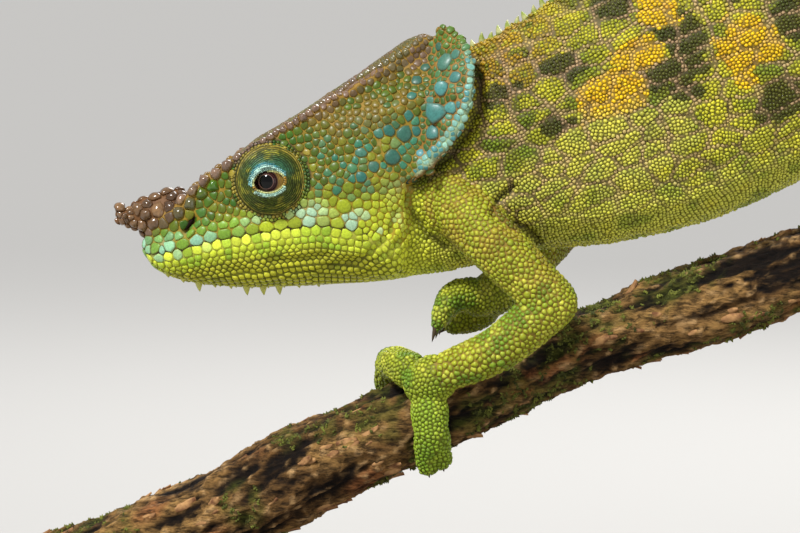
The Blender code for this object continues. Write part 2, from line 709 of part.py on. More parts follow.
def build_tail():
    """The tail: one length back from the body and four lengths of the curl."""
    count = 9
    path = smooth_path([(x, 0.0, z) for x, z in TAIL_TOP_PATH], count)
    path[-1] = path[-1] - curl_facing(0.0) * GAP
    start_half = (BACK(TRUNK_END) - BELLY(TRUNK_END)) / 2
    width = smooth_curve([(0.0, start_half), (0.35, 4.7), (0.7, 3.6), (1.0, TAIL_RADIUS_AT_CURL)])
    squash = [TRUNK(TRUNK_END) / start_half + (1.0 - TRUNK(TRUNK_END) / start_half) * k / (count - 1)
              for k in range(count)]
    radii = [width(k / (count - 1)) for k in range(count)]
    facings = (Vector((1.0, 0.0, 0.0)), curl_facing(0.0))
    rings = tube_rings(path, radii, 12, squash, facings=facings)
    pieces = [ring_object("tail_1", rings, "green_skin")]
    for n, (start, end) in enumerate(zip(TAIL_CUTS, TAIL_CUTS[1:])):
        gap_turn = math.degrees(GAP / (CURL_RADIUS * CURL_SHRINK ** (end / 360.0)))
        stop = end - gap_turn if end < TAIL_CUTS[-1] else end
        count = max(7, int((end - start) / 20.0))
        turns = [start + (stop - start) * k / (count - 1) for k in range(count)]
        path = [curl_point(t) for t in turns]
        facings = (curl_facing(start), curl_facing(stop))
        sides = 10 if n < 2 else 8
        rings = tube_rings(path, [curl_radius(t) for t in turns], sides, facings=facings)
        tip = None
        if end == TAIL_CUTS[-1]:
            ahead = (path[-1] - path[-2]).normalized()
            tip = path[-1] + ahead * 0.5
        pieces.append(ring_object("tail_%d" % (n + 2), rings, "green_skin", None, tip))
    return pieces


def perch_frame(place):
    """The perch's middle, its direction and its upward normal at one place."""
    middle = Vector((place, 0.0, PERCH_LINE(place)))
    ahead = Vector((1.0, 0.0, (PERCH_LINE(place + 0.5) - PERCH_LINE(place - 0.5)))).normalized()
    up = Vector((-ahead.z, 0.0, ahead.x))
    return middle, ahead, up


def around_perch(place, degrees, lift):
    """A point off the perch's bark. Degrees run from its top down the animal's left side."""
    middle, _, up = perch_frame(place)
    turn = math.radians(degrees)
    radius = PERCH_SIZE(place) + lift
    return middle + up * (radius * math.cos(turn)) + Vector((0.0, -radius * math.sin(turn), 0.0))


def perch_solid(name, grow=0.0):
    """The cut length of branch, with its bend and its thicker and thinner stretches."""
    first = PERCH_MIDDLE[0][0]
    last = PERCH_MIDDLE[-1][0]
    rings = []
    for k in range(PERCH_STATIONS):
        place = first + (last - first) * k / (PERCH_STATIONS - 1)
        middle, _, up = perch_frame(place)
        radius = PERCH_SIZE(place) + grow
        ring = []
        for i in range(PERCH_SIDES):
            a = 2 * math.pi * i / PERCH_SIDES
            ring.append(middle + up * (radius * math.cos(a)) + Vector((0.0, radius * math.sin(a), 0.0)))
        rings.append(ring)
    return ring_object(name, rings, "bark")


def joint_plane(before, joint, after):
    """The direction square to the cut at a joint, pointing along the limb."""
    arriving = (Vector(joint) - Vector(before)).normalized()
    leaving = (Vector(after) - Vector(joint)).normalized()
    return (arriving + leaving).normalized()


def cut_joint(thing, joint, facing, keep_before):
    """Trims one side of a limb's joint, leaving half the gap."""
    facing = facing.normalized()
    if keep_before:
        combine(thing, [half_space("far_side", Vector(joint) - facing * GAP / 2, facing)], "DIFFERENCE")
    else:
        combine(thing, [half_space("near_side", Vector(joint) + facing * GAP / 2, -facing)], "DIFFERENCE")


def build_limb(tag, names, limb):
    """Two lengths of a limb that meet at the elbow or knee, cut by the body and at the joints."""
    root, middle, bend, lower, end, palm = [Vector(p) for p in limb["line"]]
    radii = limb["radii"]
    upper = capsule(names[0] + tag, [root, middle, bend], radii[:3], "green_skin")
    fore = capsule(names[1] + tag, [bend, lower, end], radii[2:], "green_skin")
    facing = joint_plane(middle, bend, lower)
    cut_joint(upper, bend, facing, True)
    cut_joint(fore, bend, facing, False)
    for start, stop, count in ((NECK_FRONT, NECK_END, 4), (NECK_END - GAP, TRUNK_END + GAP, TRUNK_STATIONS)):
        if min(root.x, bend.x) - radii[0] < stop and max(root.x, bend.x) + radii[0] > start:
            combine(upper, [trunk_solid("grown_body", start, stop, count, GAP)], "DIFFERENCE")
    cut_joint(fore, end, joint_plane(lower, end, palm), True)
    hand = capsule(names[2] + tag, [end, end.lerp(palm, 0.5), palm], [radii[4], PALM_RADIUS, PALM_RADIUS - 0.2], "green_skin",
                   12, 4)
    cut_joint(hand, end, joint_plane(lower, end, palm), False)
    return end, palm, radii[4]


def toe_bundle(name, path, toes, across, claw_turn, palm_cutter):
    """Two or three toes, joined like a mitten to near their tips, each with a claw."""
    line = smooth_path(path, 9)
    bundle = capsule(name, line[:6], MITTEN_RADII, "green_skin", 9, 4)
    across = Vector(across).normalized()
    pieces = []
    for t in range(toes):
        offset = (t - (toes - 1) / 2) * TOE_SPACING[toes]
        toe_line = [p + across * (offset * min(1.0, (k + 1) / 3.0)) for k, p in enumerate(line[3:])]
        pieces.append(capsule("toe", toe_line, TOE_RADII, None, 6, 4))
        ahead = (toe_line[-1] - toe_line[-2]).normalized()
        tip = toe_line[-1] + ahead * CLAW_LENGTH + Vector(claw_turn) * 0.5
        pieces.append(cone("claw", toe_line[-1] + ahead * 0.2, tip, CLAW_RADIUS, 6, 0.75))
    combine(bundle, pieces, "UNION")
    combine(bundle, [palm_cutter()], "DIFFERENCE")
    return bundle


def build_limbs():
    """All four limbs, three that hold the perch and one forefoot held just above it."""
    for tag, limb in LIMBS.items():
        names = ("upper_arm_", "forearm_", "hand_") if limb["fore"] else ("thigh_", "shin_", "foot_")
        word = tag.split("_")[1]
        side = 1 if word == "left" else -1
        grip = limb.get("grip")
        if grip:
            limb["line"].append(around_perch(grip, side * limb["palm_turn"], PALM_RADIUS + GAP))
        end, palm, radius = build_limb(word, names, limb)

        def palm_cutter():
            return capsule("grown_palm", [end, end.lerp(palm, 0.5), palm], [radius, PALM_RADIUS, PALM_RADIUS - 0.2],
                           None, 12, 4, GAP)

        for which in ("inner", "outer"):
            toes = limb[which + "_toes"]
            if grip:
                path = [around_perch(grip + shift, side * turn, TOE_LIFT)
                        for shift, turn in limb[which]]
                across = perch_frame(grip)[1]
                claw_turn = (perch_frame(grip)[0] - path[-1]).normalized()
            else:
                path = [Vector(p) for p in limb[which]]
                across = limb["across"]
                claw_turn = Vector((-0.3, 0.0, -1.0))
            name = names[2] + which + "_toes_" + word
            toe_bundle(name, path, toes, across, claw_turn, palm_cutter)


def build_perch():
    """The perch, which the feet hold."""
    return perch_solid("perch")


def build_stand():
    """The flat base and the two rods that carry the perch."""
    corner_steps = 4
    outline = []
    for cx, cy, start in ((1, 1, 0), (-1, 1, 90), (-1, -1, 180), (1, -1, 270)):
        for k in range(corner_steps + 1):
            a = math.radians(start + 90.0 * k / corner_steps)
            x = cx * (BASE_LENGTH / 2 - BASE_CORNER) + BASE_CORNER * math.cos(a)
            y = cy * (BASE_WIDTH / 2 - BASE_CORNER) + BASE_CORNER * math.sin(a)
            outline.append((x, y))
    rings = []
    for level, inset in ((0.0, 0.0), (BASE_THICK - BASE_BEVEL, 0.0), (BASE_THICK, BASE_BEVEL)):
        rings.append([(x * (1 - 2 * inset / BASE_LENGTH) - SHIFT_X,
                       y * (1 - 2 * inset / BASE_WIDTH), level) for x, y in outline])
    ring_object("stand_base", rings, "base_wood")
    for name, place in ROD_PLACES.items():
        floor = BASE_THICK + GAP
        profile = [(ROD_COLLAR_RADIUS, 0.0), (ROD_COLLAR_RADIUS, ROD_COLLAR_THICK - 0.5),
                   (ROD_COLLAR_RADIUS - 0.6, ROD_COLLAR_THICK), (ROD_RADIUS, ROD_COLLAR_THICK),
                   (ROD_RADIUS, PERCH_LINE(place) - floor)]
        rod_rings = [[(place + r * math.cos(a), r * math.sin(a), floor + z)
                      for a in (2 * math.pi * i / 16 for i in range(16))] for r, z in profile]
        rod = ring_object(name, rod_rings, "rod_brass")
        combine(rod, [perch_solid("grown_perch", GAP)], "DIFFERENCE")


def clear_scene():
    """Removes whatever the file starts with."""
    for thing in list(bpy.data.objects):
        bpy.data.objects.remove(thing)


def main():
    clear_scene()
    build_head()
    build_jaw()
    build_horn()
    for tag, side in (("left", -1), ("right", 1)):
        build_flap("ear_flap_" + tag, side)
        build_eye(tag, side)
    build_trunk()
    build_tail()
    build_limbs()
    build_perch()
    build_stand()


if __name__ == "__main__":
    main()
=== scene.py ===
import math

import bmesh
import bpy
import numpy as np
from mathutils import Matrix, Vector
from mathutils.bvhtree import BVHTree
from mathutils.kdtree import KDTree


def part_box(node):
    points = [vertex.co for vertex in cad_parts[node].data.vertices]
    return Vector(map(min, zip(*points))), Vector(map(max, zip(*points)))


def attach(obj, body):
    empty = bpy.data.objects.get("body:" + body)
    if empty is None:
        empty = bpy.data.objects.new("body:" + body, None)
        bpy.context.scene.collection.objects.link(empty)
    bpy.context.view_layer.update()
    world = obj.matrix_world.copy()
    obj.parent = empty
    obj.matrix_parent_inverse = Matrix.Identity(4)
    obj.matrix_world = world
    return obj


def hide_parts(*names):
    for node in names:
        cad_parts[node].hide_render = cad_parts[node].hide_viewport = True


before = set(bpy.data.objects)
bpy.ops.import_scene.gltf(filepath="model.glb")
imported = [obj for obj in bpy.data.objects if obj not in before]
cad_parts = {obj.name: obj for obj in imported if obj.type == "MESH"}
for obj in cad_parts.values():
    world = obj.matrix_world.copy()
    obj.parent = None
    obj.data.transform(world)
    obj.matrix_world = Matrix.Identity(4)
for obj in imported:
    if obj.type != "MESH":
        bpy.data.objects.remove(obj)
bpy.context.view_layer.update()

# All measures below are millimetres in the animal's own frame, which is the frame of the
# solids moved so that its zero lies a little behind the head.
MM = 0.001
SHIFT = np.array((44.0, 0.0, 0.0))
SIDES = (("left", -1.0), ("right", 1.0))
LIMB_NODES = ["upper_arm_", "forearm_", "thigh_", "shin_"]
FOOT_NODES = ["hand_", "foot_", "hand_inner_toes_", "hand_outer_toes_", "foot_inner_toes_",
              "foot_outer_toes_"]
GROUPS = {
    "head": ["head"],
    "jaw": ["lower_jaw"],
    "flap": ["ear_flap_left", "ear_flap_right"],
    "turret": ["eye_turret_left", "eye_turret_right"],
    "trunk": ["neck", "torso"],
    "tail": ["tail_%d" % n for n in range(1, 6)],
    "limb": [n + s for s, _ in SIDES for n in LIMB_NODES],
    "foot": [n + s for s, _ in SIDES for n in FOOT_NODES],
    "horn": ["snout_horn"],
}
REGIONS = list(GROUPS)
HEAD, JAW, FLAP, TURRET, TRUNK, TAIL, LIMB, FOOT, HORN = range(len(REGIONS))
FLESH = [node for nodes in GROUPS.values() for node in nodes]

SKIN_VOXEL = 0.5
SKIN_INSET = 0.12
EYE_MIDDLE = np.array((-16.9, 0.0, 83.1))
PUPIL_MIDDLE = (-17.3, 83.15)
TURRET_MIDDLE = (-16.75, 83.35)
EYEBALL_RADIUS = 1.8
EYE_OPENING = (2.0, 1.3)
EYE_TILT = 10.0
TURRET_EDGE = 5.0
SEED = 11

# Mean distance between scales in each region
SPACING = {"head": 1.0, "jaw": 0.72, "flap": 1.0, "turret": 0.3, "trunk": 0.52, "tail": 0.66,
           "limb": 0.56, "foot": 0.5, "horn": 1.5}
KINDS = REGIONS + ["lip", "crest"]
MOST_TRIANGLES = 185000.0

# How each kind of scale is shaped: corners, rings, height as a share of its width, how far its
# outline may reach as a share of its width, and half the seam round it in millimetres
SHAPES = {
    "head": (11, 3, 0.15, 1.15, 0.022),
    "jaw": (8, 3, 0.2, 0.9, 0.04),
    "flap": (11, 3, 0.14, 1.0, 0.055),
    "turret": (8, 2, 0.34, 1.0, 0.012),
    "trunk": (6, 2, 0.36, 0.9, 0.02),
    "tail": (6, 2, 0.34, 0.9, 0.025),
    "limb": (8, 2, 0.3, 0.9, 0.03),
    "foot": (7, 2, 0.34, 0.9, 0.025),
    "horn": (14, 4, 0.3, 0.95, 0.01),
    "crest": (14, 4, 0.42, 0.7, 0.01),
    "lip": (12, 3, 0.11, 0.85, 0.035),
}

# Outline and height of a scale's rings as shares of its reach and of its height
PROFILES = {2: [(0.87, 0.62)], 3: [(0.94, 0.5), (0.74, 0.86)],
            4: [(0.96, 0.25), (0.7, 0.62), (0.36, 0.9)]}

# Large round plates on the cheek and the ear flap: place along, height and width
PLATES = [
    (4.5, 92.0, 2.7), (5.3, 95.2, 2.1), (5.8, 98.3, 2.3), (0.6, 89.2, 2.1), (4.2, 89.4, 2.0),
    (-1.0, 86.2, 2.1), (6.6, 92.7, 1.6), (7.2, 96.6, 1.7), (4.1, 87.7, 1.7), (7.2, 99.5, 1.5),
    (2.2, 96.1, 1.5), (3.3, 97.7, 1.4), (5.1, 100.5, 1.3), (2.1, 89.6, 1.3), (1.5, 94.1, 1.3),
    (8.3, 95.2, 1.3), (-0.6, 88.0, 1.2), (1.0, 86.1, 1.2), (2.6, 86.8, 1.2), (6.7, 90.9, 1.3),
    (6.0, 88.9, 1.1), (8.2, 92.1, 1.3), (1.1, 91.6, 1.3), (-2.7, 89.3, 1.3), (-1.5, 89.7, 1.5),
    (-3.4, 85.0, 1.5), (-5.0, 83.7, 1.5), (-5.0, 86.8, 1.3), (-6.2, 84.8, 1.2), (-6.7, 82.3, 1.5),
    (-8.5, 85.0, 1.3), (-9.5, 81.4, 1.1), (-7.3, 79.9, 1.9), (-9.3, 79.4, 1.3), (-5.5, 80.2, 1.1),
    (-6.1, 78.5, 1.0), (-4.4, 78.6, 1.1), (-3.8, 82.1, 1.0), (-6.7, 87.3, 1.1), (-6.8, 89.3, 1.3),
    (-8.8, 89.6, 1.1), (-10.1, 87.9, 0.9), (-11.1, 86.8, 1.0),
]

# The middle line of the perch, along and up, and where the feet hold it
PERCH_LINE = [(-62.0, 24.6), (-41.7, 31.4), (-27.0, 36.8), (-12.4, 44.3), (-6.1, 47.3),
              (7.8, 53.5), (24.1, 60.7), (41.7, 66.8), (51.5, 70.3), (80.0, 81.0), (114.0, 94.5)]
GRIPS = ((3.0, 51.5), (91.0, 85.4), (79.5, 80.8))

# Creases of the skin seen from the side: points along and up, half width and depth
CREASES = [
    ([(-17.0, 72.6), (-12.5, 72.7), (-9.0, 73.6)], 0.5, 0.35),
    ([(-9.5, 71.8), (-5.2, 72.7), (-3.2, 74.3), (-1.3, 76.5), (-0.4, 79.0)], 0.55, 0.5),
    ([(-15.8, 70.9), (-9.2, 71.2), (-4.2, 72.2), (-0.9, 73.9), (0.6, 76.6)], 0.45, 0.35),
    ([(-22.0, 71.2), (-18.0, 71.0), (-13.0, 71.6)], 0.3, 0.2),
    ([(-12.0, 70.2), (-6.0, 70.6), (-1.5, 72.0), (1.6, 74.6)], 0.4, 0.3),
    ([(-7.0, 75.0), (-4.4, 75.4), (-2.6, 77.0), (-1.8, 79.5)], 0.35, 0.3),
    ([(1.2, 83.0), (1.2, 79.5), (3.4, 76.0), (5.8, 74.4)], 0.6, 0.9),
    ([(4.6, 82.2), (4.0, 79.6), (5.3, 76.2), (7.0, 74.6)], 0.35, 0.3),
    ([(6.9, 81.6), (6.3, 79.3), (7.3, 76.8), (8.8, 75.2)], 0.3, 0.2),
    ([(13.9, 70.3), (15.6, 69.6), (16.6, 68.2)], 0.28, 0.25),
    ([(14.4, 71.7), (16.7, 70.8), (18.0, 68.8)], 0.28, 0.25),
    ([(-0.9, 74.2), (1.0, 76.3), (1.4, 79.0)], 0.5, 0.5),
    ([(14.8, 82.4), (12.9, 80.9), (12.0, 79.4), (14.4, 77.7), (17.0, 76.3), (18.6, 74.5)], 0.55, 0.9),
    ([(9.9, 99.4), (10.3, 96.0), (10.2, 92.8), (8.9, 89.6), (6.3, 86.1), (1.6, 82.6)], 0.7, 0.9),
    ([(8.8, 89.6), (10.7, 90.3), (14.0, 90.9)], 0.3, 0.2),
    ([(7.6, 85.6), (10.1, 86.9), (14.5, 87.6)], 0.35, 0.25),
    ([(9.4, 93.6), (12.4, 94.4), (16.0, 96.0)], 0.3, 0.2),
    ([(0.6, 99.0), (-0.2, 96.2), (-0.9, 93.5)], 0.35, 0.3),
    ([(-4.0, 91.2), (-3.6, 88.9), (-2.7, 86.4), (-1.4, 84.8)], 0.35, 0.35),
]

# The free edge of the ear flap, along and up
FLAP_EDGE = [(8.4, 101.4), (9.2, 99.9), (9.6, 97.7), (9.4, 95.2), (8.7, 92.6), (7.4, 90.2), (5.5, 87.7),
             (3.4, 85.7), (1.0, 84.0)]

# Rows of knobs along the crest: from and to along the head, step, lift over the crest, width
CREST_ROWS = [(-28.6, -21.5, 1.5, -0.4, 1.6), (-21.2, -9.0, 0.85, -0.35, 1.1),
              (-8.6, 1.0, 0.85, -0.35, 0.95), (-29.0, -24.0, 1.5, -1.8, 1.5)]

# Rows along the mouth, the same measures with the lift over the mouth, and the kind of scale
MOUTH_ROWS = [(-34.0, -5.0, 1.85, 0.62, 1.55, "lip"), (-34.3, -6.0, 1.3, -0.72, 1.35, "lip"),
              (-33.2, -8.0, 1.45, 1.75, 1.15, "head"), (-32.4, -3.5, 1.0, -1.75, 1.05, "jaw"),
              (-32.4, -3.5, 0.84, -2.5, 0.82, "jaw")]

# Claws, each from its root to its tip
CLAWS = [
    ((2.6, 7.5, 46.9), (3.8, 6.5, 45.3)), ((4.2, 7.5, 47.6), (5.4, 6.5, 46.1)),
    ((5.8, 7.5, 48.3), (7.0, 6.5, 46.8)), ((3.6, -6.1, 45.2), (3.9, -4.7, 43.7)),
    ((5.5, -6.1, 46.1), (5.8, -4.7, 44.5)), ((4.9, -2.8, 64.1), (4.2, -3.1, 61.5)),
    ((5.4, -1.2, 64.4), (4.7, -1.5, 61.8)), ((5.9, 0.4, 64.7), (5.2, 0.1, 62.1)),
    ((6.9, 5.6, 62.8), (4.7, 5.9, 61.5)), ((7.5, 7.6, 63.2), (5.3, 7.9, 61.9)),
    ((89.0, 7.3, 80.4), (90.1, 6.3, 78.7)), ((91.0, 7.3, 81.2), (92.0, 6.3, 79.5)),
    ((90.3, -5.3, 78.3), (90.6, -3.7, 76.9)), ((91.9, -5.3, 78.9), (92.3, -3.7, 77.5)),
    ((93.5, -5.3, 79.6), (93.9, -3.7, 78.1)), ((77.0, -7.3, 75.7), (78.0, -6.4, 74.0)),
    ((79.0, -7.3, 76.5), (80.0, -6.4, 74.8)), ((78.2, 5.3, 73.5), (78.6, 3.8, 72.1)),
    ((79.9, 5.3, 74.2), (80.2, 3.8, 72.8)), ((81.5, 5.3, 74.8), (81.8, 3.8, 73.4)),
]
NOSTRIL = ((-28.3, 76.4), (-27.1, 78.0))

# The lower outline of the chin and throat, along and up
CHIN_LINE = [(-33.9, 72.1), (-32.6, 70.8), (-30.6, 69.9), (-26.0, 69.0), (-20.0, 68.6), (-13.0, 68.8),
             (0.6, 69.6)]

# The mouth, and the crest along the side of the head, along and up
MOUTH_LINE = [(-35.0, 73.2), (-33.5, 73.1), (-29.0, 73.9), (-24.0, 75.3), (-15.8, 76.8),
              (-10.5, 77.4), (-4.6, 76.6), (3.0, 73.6)]
CREST_LINE = [(-33.9, 75.6), (-32.0, 77.6), (-29.0, 80.4), (-25.7, 83.3), (-19.1, 87.8),
              (-12.5, 91.8), (-9.0, 94.0), (-5.0, 96.9), (3.9, 101.8)]

# Yellow and dark patches on the flank: place along, height, half length, half height and tilt
YELLOW_PATCHES = [(27.2, 94.4, 4.2, 3.6, 20), (31.0, 99.5, 3.6, 3.0, 45), (33.2, 105.2, 2.6, 3.0, 60),
                  (44.2, 101.5, 4.2, 4.0, 20), (44.5, 96.0, 1.6, 1.4, 0),
                  (62.0, 110.0, 4.5, 3.5, 25), (78.0, 116.0, 4.0, 3.0, 10), (60.0, 101.0, 2.6, 2.0, 0),
                  (92.0, 116.5, 3.0, 2.4, 0)]
DARK_PATCHES = [(36.8, 102.0, 3.0, 3.0, 60), (36.8, 98.0, 2.7, 1.9, 10), (36.8, 94.6, 2.8, 1.9, 0),
                (32.6, 96.0, 2.2, 1.5, 0),
                (21.5, 98.0, 2.6, 1.6, 20), (20.8, 90.6, 2.2, 1.5, 10), (49.0, 93.5, 3.4, 2.6, 30),
                (52.0, 104.0, 3.0, 3.4, 60), (13.5, 94.5, 2.5, 1.6, 30), (66.0, 98.0, 4.2, 3.0, 20),
                (70.0, 112.0, 4.0, 3.5, 40), (84.0, 108.0, 4.0, 3.0, 20), (57.0, 115.5, 3.5, 2.6, 30),
                (98.0, 110.5, 3.0, 2.2, 0), (43.0, 109.5, 3.0, 2.4, 40), (28.0, 106.5, 2.6, 2.0, 40)]

# The middle line of the trunk with its back and belly lines, along and up
TRUNK_LINE = [(0.6, 83.5), (20.0, 88.6), (40.0, 96.6), (60.0, 104.4), (80.0, 108.9), (104.0, 112.2)]
BACK_LINE = [(0.6, 97.0), (9.0, 100.4), (30.0, 112.0), (45.0, 118.5), (60.0, 123.0),
             (75.0, 125.0), (90.0, 123.4), (104.0, 118.0)]
BELLY_LINE = [(0.6, 69.6), (19.0, 73.6), (39.0, 76.8), (52.0, 82.3), (65.0, 87.5),
              (80.0, 92.8), (92.0, 97.0), (104.0, 105.8)]


def linear(hex_colour):
    """An sRGB hex colour as linear red, green and blue."""
    parts = [int(hex_colour[i:i + 2], 16) / 255.0 for i in (0, 2, 4)]
    return np.array([c / 12.92 if c <= 0.04045 else ((c + 0.055) / 1.055) ** 2.4 for c in parts])


def value_noise(points, size, seed):
    """Smooth noise from -1 to 1 at points, with lumps about as wide as size."""
    p = np.asarray(points) / size + seed * 17.31
    cell = np.floor(p).astype(np.int64)
    t = p - cell
    t = t * t * (3.0 - 2.0 * t)
    total = np.zeros(len(p))
    for corner in range(8):
        step = np.array([(corner >> k) & 1 for k in range(3)])
        c = cell + step
        mixed = (c[:, 0] * 73856093) ^ (c[:, 1] * 19349663) ^ (c[:, 2] * 83492791) ^ (seed * 2654435)
        mixed = (mixed ^ (mixed >> 13)) * 1274126177 & 0x7FFFFFFF
        height = (mixed % 100003) / 50001.0 - 1.0
        weight = np.prod(np.where(step == 1, t, 1.0 - t), axis=1)
        total += weight * height
    return total


def smoothstep(low, high, value):
    """0 below low, 1 above high, and a soft step between."""
    t = np.clip((value - low) / (high - low), 0.0, 1.0)
    return t * t * (3.0 - 2.0 * t)


def curve_at(points, place):
    """Values at places on a line through a few (place, value) points."""
    return np.interp(place, [p[0] for p in points], [p[1] for p in points])


def node_arrays(names):
    """The corners and triangles of some of the frame's nodes, in the animal's own frame."""
    corners = []
    faces = []
    start = 0
    for name in names:
        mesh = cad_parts[name].data
        flat = np.empty(len(mesh.vertices) * 3)
        mesh.vertices.foreach_get("co", flat)
        corners.append(flat.reshape(-1, 3) / MM + SHIFT)
        mesh.calc_loop_triangles()
        tris = np.empty(len(mesh.loop_triangles) * 3, dtype=np.int64)
        mesh.loop_triangles.foreach_get("vertices", tris)
        faces.append(tris.reshape(-1, 3) + start)
        start += len(mesh.vertices)
    return np.vstack(corners), np.vstack(faces)


def mesh_from(name, points, face_sizes, loops):
    """A mesh from numpy arrays of points in millimetres, face sizes and corner numbers."""
    mesh = bpy.data.meshes.new(name)
    mesh.vertices.add(len(points))
    mesh.vertices.foreach_set("co", ((points - SHIFT) * MM).astype(np.float32).ravel())
    mesh.loops.add(len(loops))
    mesh.loops.foreach_set("vertex_index", loops.astype(np.int32))
    starts = np.concatenate(([0], np.cumsum(face_sizes)[:-1])).astype(np.int32)
    mesh.polygons.add(len(face_sizes))
    mesh.polygons.foreach_set("loop_start", starts)
    mesh.update(calc_edges=True)
    return mesh


def new_piece(name, mesh):
    """An object for a mesh, linked to the scene."""
    thing = bpy.data.objects.new(name, mesh)
    bpy.context.scene.collection.objects.link(thing)
    return thing


def finish_piece(thing, nodes, material=None, smooth=True):
    """Gives a piece its material and, unless told not to, smooth shading; attaches it to the root body
    and hides the nodes that it stands for.
    """
    if material:
        thing.data.materials.clear()
        thing.data.materials.append(material)
    if smooth:
        thing.data.shade_smooth()
    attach(thing, "root")
    if nodes:
        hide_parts(*nodes)


def paint(mesh, colours):
    """Stores linear colours, one per point or one for all, for the materials to read."""
    layer = mesh.color_attributes.new("tint", "FLOAT_COLOR", "POINT")
    full = np.ones((len(mesh.vertices), 4), dtype=np.float32)
    full[:, :3] = colours
    layer.data.foreach_set("color", full.ravel())


def voxel_mesh(names, voxel, rounds):
    """One even, smoothed mesh round some nodes: its points, loops, face sizes and edges."""
    corners, faces = node_arrays(names)
    mesh = mesh_from("lump", corners, np.full(len(faces), 3), faces.ravel())
    lump = new_piece("lump", mesh)
    step = lump.modifiers.new("even", "REMESH")
    step.mode = "VOXEL"
    step.voxel_size = voxel * MM
    graph = bpy.context.evaluated_depsgraph_get()
    even = bpy.data.meshes.new_from_object(lump.evaluated_get(graph))
    bpy.data.objects.remove(lump)
    flat = np.empty(len(even.vertices) * 3)
    even.vertices.foreach_get("co", flat)
    points = flat.reshape(-1, 3) / MM + SHIFT
    quads = np.empty(len(even.loops), dtype=np.int64)
    even.loops.foreach_get("vertex_index", quads)
    edges = np.empty(len(even.edges) * 2, dtype=np.int64)
    even.edges.foreach_get("vertices", edges)
    bpy.data.meshes.remove(even)
    points, quads, edges = largest_piece(points, quads.reshape(-1, 4), edges.reshape(-1, 2))
    sizes = np.full(len(quads) // 4, 4)
    everywhere = np.ones(len(points))
    for _ in range(rounds):
        points = ease(points, edges, everywhere * 0.55, 1)
        points = ease(points, edges, everywhere * -0.56, 1)
    return points, quads, sizes, edges


def largest_piece(points, quads, edges):
    """Leaves out everything that isn't joined to the largest piece of a mesh."""
    label = np.arange(len(points))
    while True:
        low = np.minimum(label[edges[:, 0]], label[edges[:, 1]])
        new = label.copy()
        np.minimum.at(new, edges[:, 0], low)
        np.minimum.at(new, edges[:, 1], low)
        new = new[new]
        if (new == label).all():
            break
        label = new
    keep = label == np.bincount(label).argmax()
    number = np.cumsum(keep) - 1
    return (points[keep], number[quads[keep[quads[:, 0]]]].ravel(),
            number[edges[keep[edges[:, 0]]]])


def ease(points, edges, share, rounds):
    """Moves each point towards the middle of its neighbours by its share, over and over."""
    count = len(points)
    links = np.bincount(edges.ravel(), minlength=count)[:, None]
    for _ in range(rounds):
        total = np.zeros_like(points)
        for axis in range(3):
            total[:, axis] = (np.bincount(edges[:, 0], points[edges[:, 1], axis], count)
                              + np.bincount(edges[:, 1], points[edges[:, 0], axis], count))
        points = points + share[:, None] * (total / links - points)
    return points


def point_normals(points, loops):
    """Outward unit normals of the points of a mesh of quads, with the quads and their normals."""
    quads = loops.reshape(-1, 4)
    across = np.cross(points[quads[:, 2]] - points[quads[:, 0]],
                      points[quads[:, 3]] - points[quads[:, 1]])
    normals = np.zeros_like(points)
    for corner in range(4):
        for axis in range(3):
            normals[:, axis] += np.bincount(quads[:, corner], across[:, axis], len(points))
    return normals / np.maximum(np.linalg.norm(normals, axis=1), 1e-9)[:, None], quads, across


def line_distance(points, line):
    """How far points seen from the side lie from a line of a few straight lengths."""
    x, _, z = points.T
    best = np.full(len(x), 1e9)
    for (ax, az), (bx, bz) in zip(line[:-1], line[1:]):
        length = (bx - ax) ** 2 + (bz - az) ** 2
        t = np.clip(((x - ax) * (bx - ax) + (z - az) * (bz - az)) / length, 0.0, 1.0)
        best = np.minimum(best, np.hypot(x - ax - t * (bx - ax), z - az - t * (bz - az)))
    return best


def crease_depth(points):
    """How deep the skin's folds cut in at each place seen from the side."""
    depth = np.zeros(len(points))
    for line, half, deep in CREASES:
        gap = line_distance(points, line)
        depth = np.maximum(depth, deep * np.exp(-(gap / half) ** 2))
    return depth


def cells(u, v, seed):
    """Irregular cells on a plane: how far inside its cell each place is, and the cell's number."""
    cu = np.floor(u).astype(np.int64)
    cv = np.floor(v).astype(np.int64)
    first = np.full(len(u), 1e9)
    second = np.full(len(u), 1e9)
    owner = np.zeros(len(u))
    for du in (-1, 0, 1):
        for dv in (-1, 0, 1):
            a = cu + du
            b = cv + dv
            mixed = ((a * 73856093) ^ (b * 19349663) ^ (seed * 83492791)) & 0x7FFFFFFF
            mixed = ((mixed ^ (mixed >> 13)) * 1274126177) & 0x7FFFFFFF
            pu = a + 0.15 + 0.7 * (mixed % 1009) / 1009.0
            pv = b + 0.15 + 0.7 * (mixed // 1009 % 1013) / 1013.0
            gap = np.hypot(u - pu, v - pv)
            closer = gap < first
            second = np.where(closer, first, np.minimum(second, gap))
            owner = np.where(closer, mixed % 997 / 997.0, owner)
            first = np.where(closer, gap, first)
    return second - first, owner


def nearest_region(points):
    """The number of the region whose solids lie nearest to each point."""
    best = np.full(len(points), 1e9)
    region = np.zeros(len(points), dtype=np.int64)
    for number, name in enumerate(REGIONS):
        corners, faces = node_arrays(GROUPS[name])
        tree = BVHTree.FromPolygons(corners.tolist(), faces.tolist())
        gaps = np.array([tree.find_nearest(p, 12.0)[3] or 1e9 for p in points.tolist()])
        closer = gaps < best
        best[closer] = gaps[closer]
        region[closer] = number
    return region


def slanted(x, z, degrees):
    """How far places lie along and across a direction that rises by some degrees."""
    turn = math.radians(degrees)
    return x * math.cos(turn) + z * math.sin(turn), -x * math.sin(turn) + z * math.cos(turn)


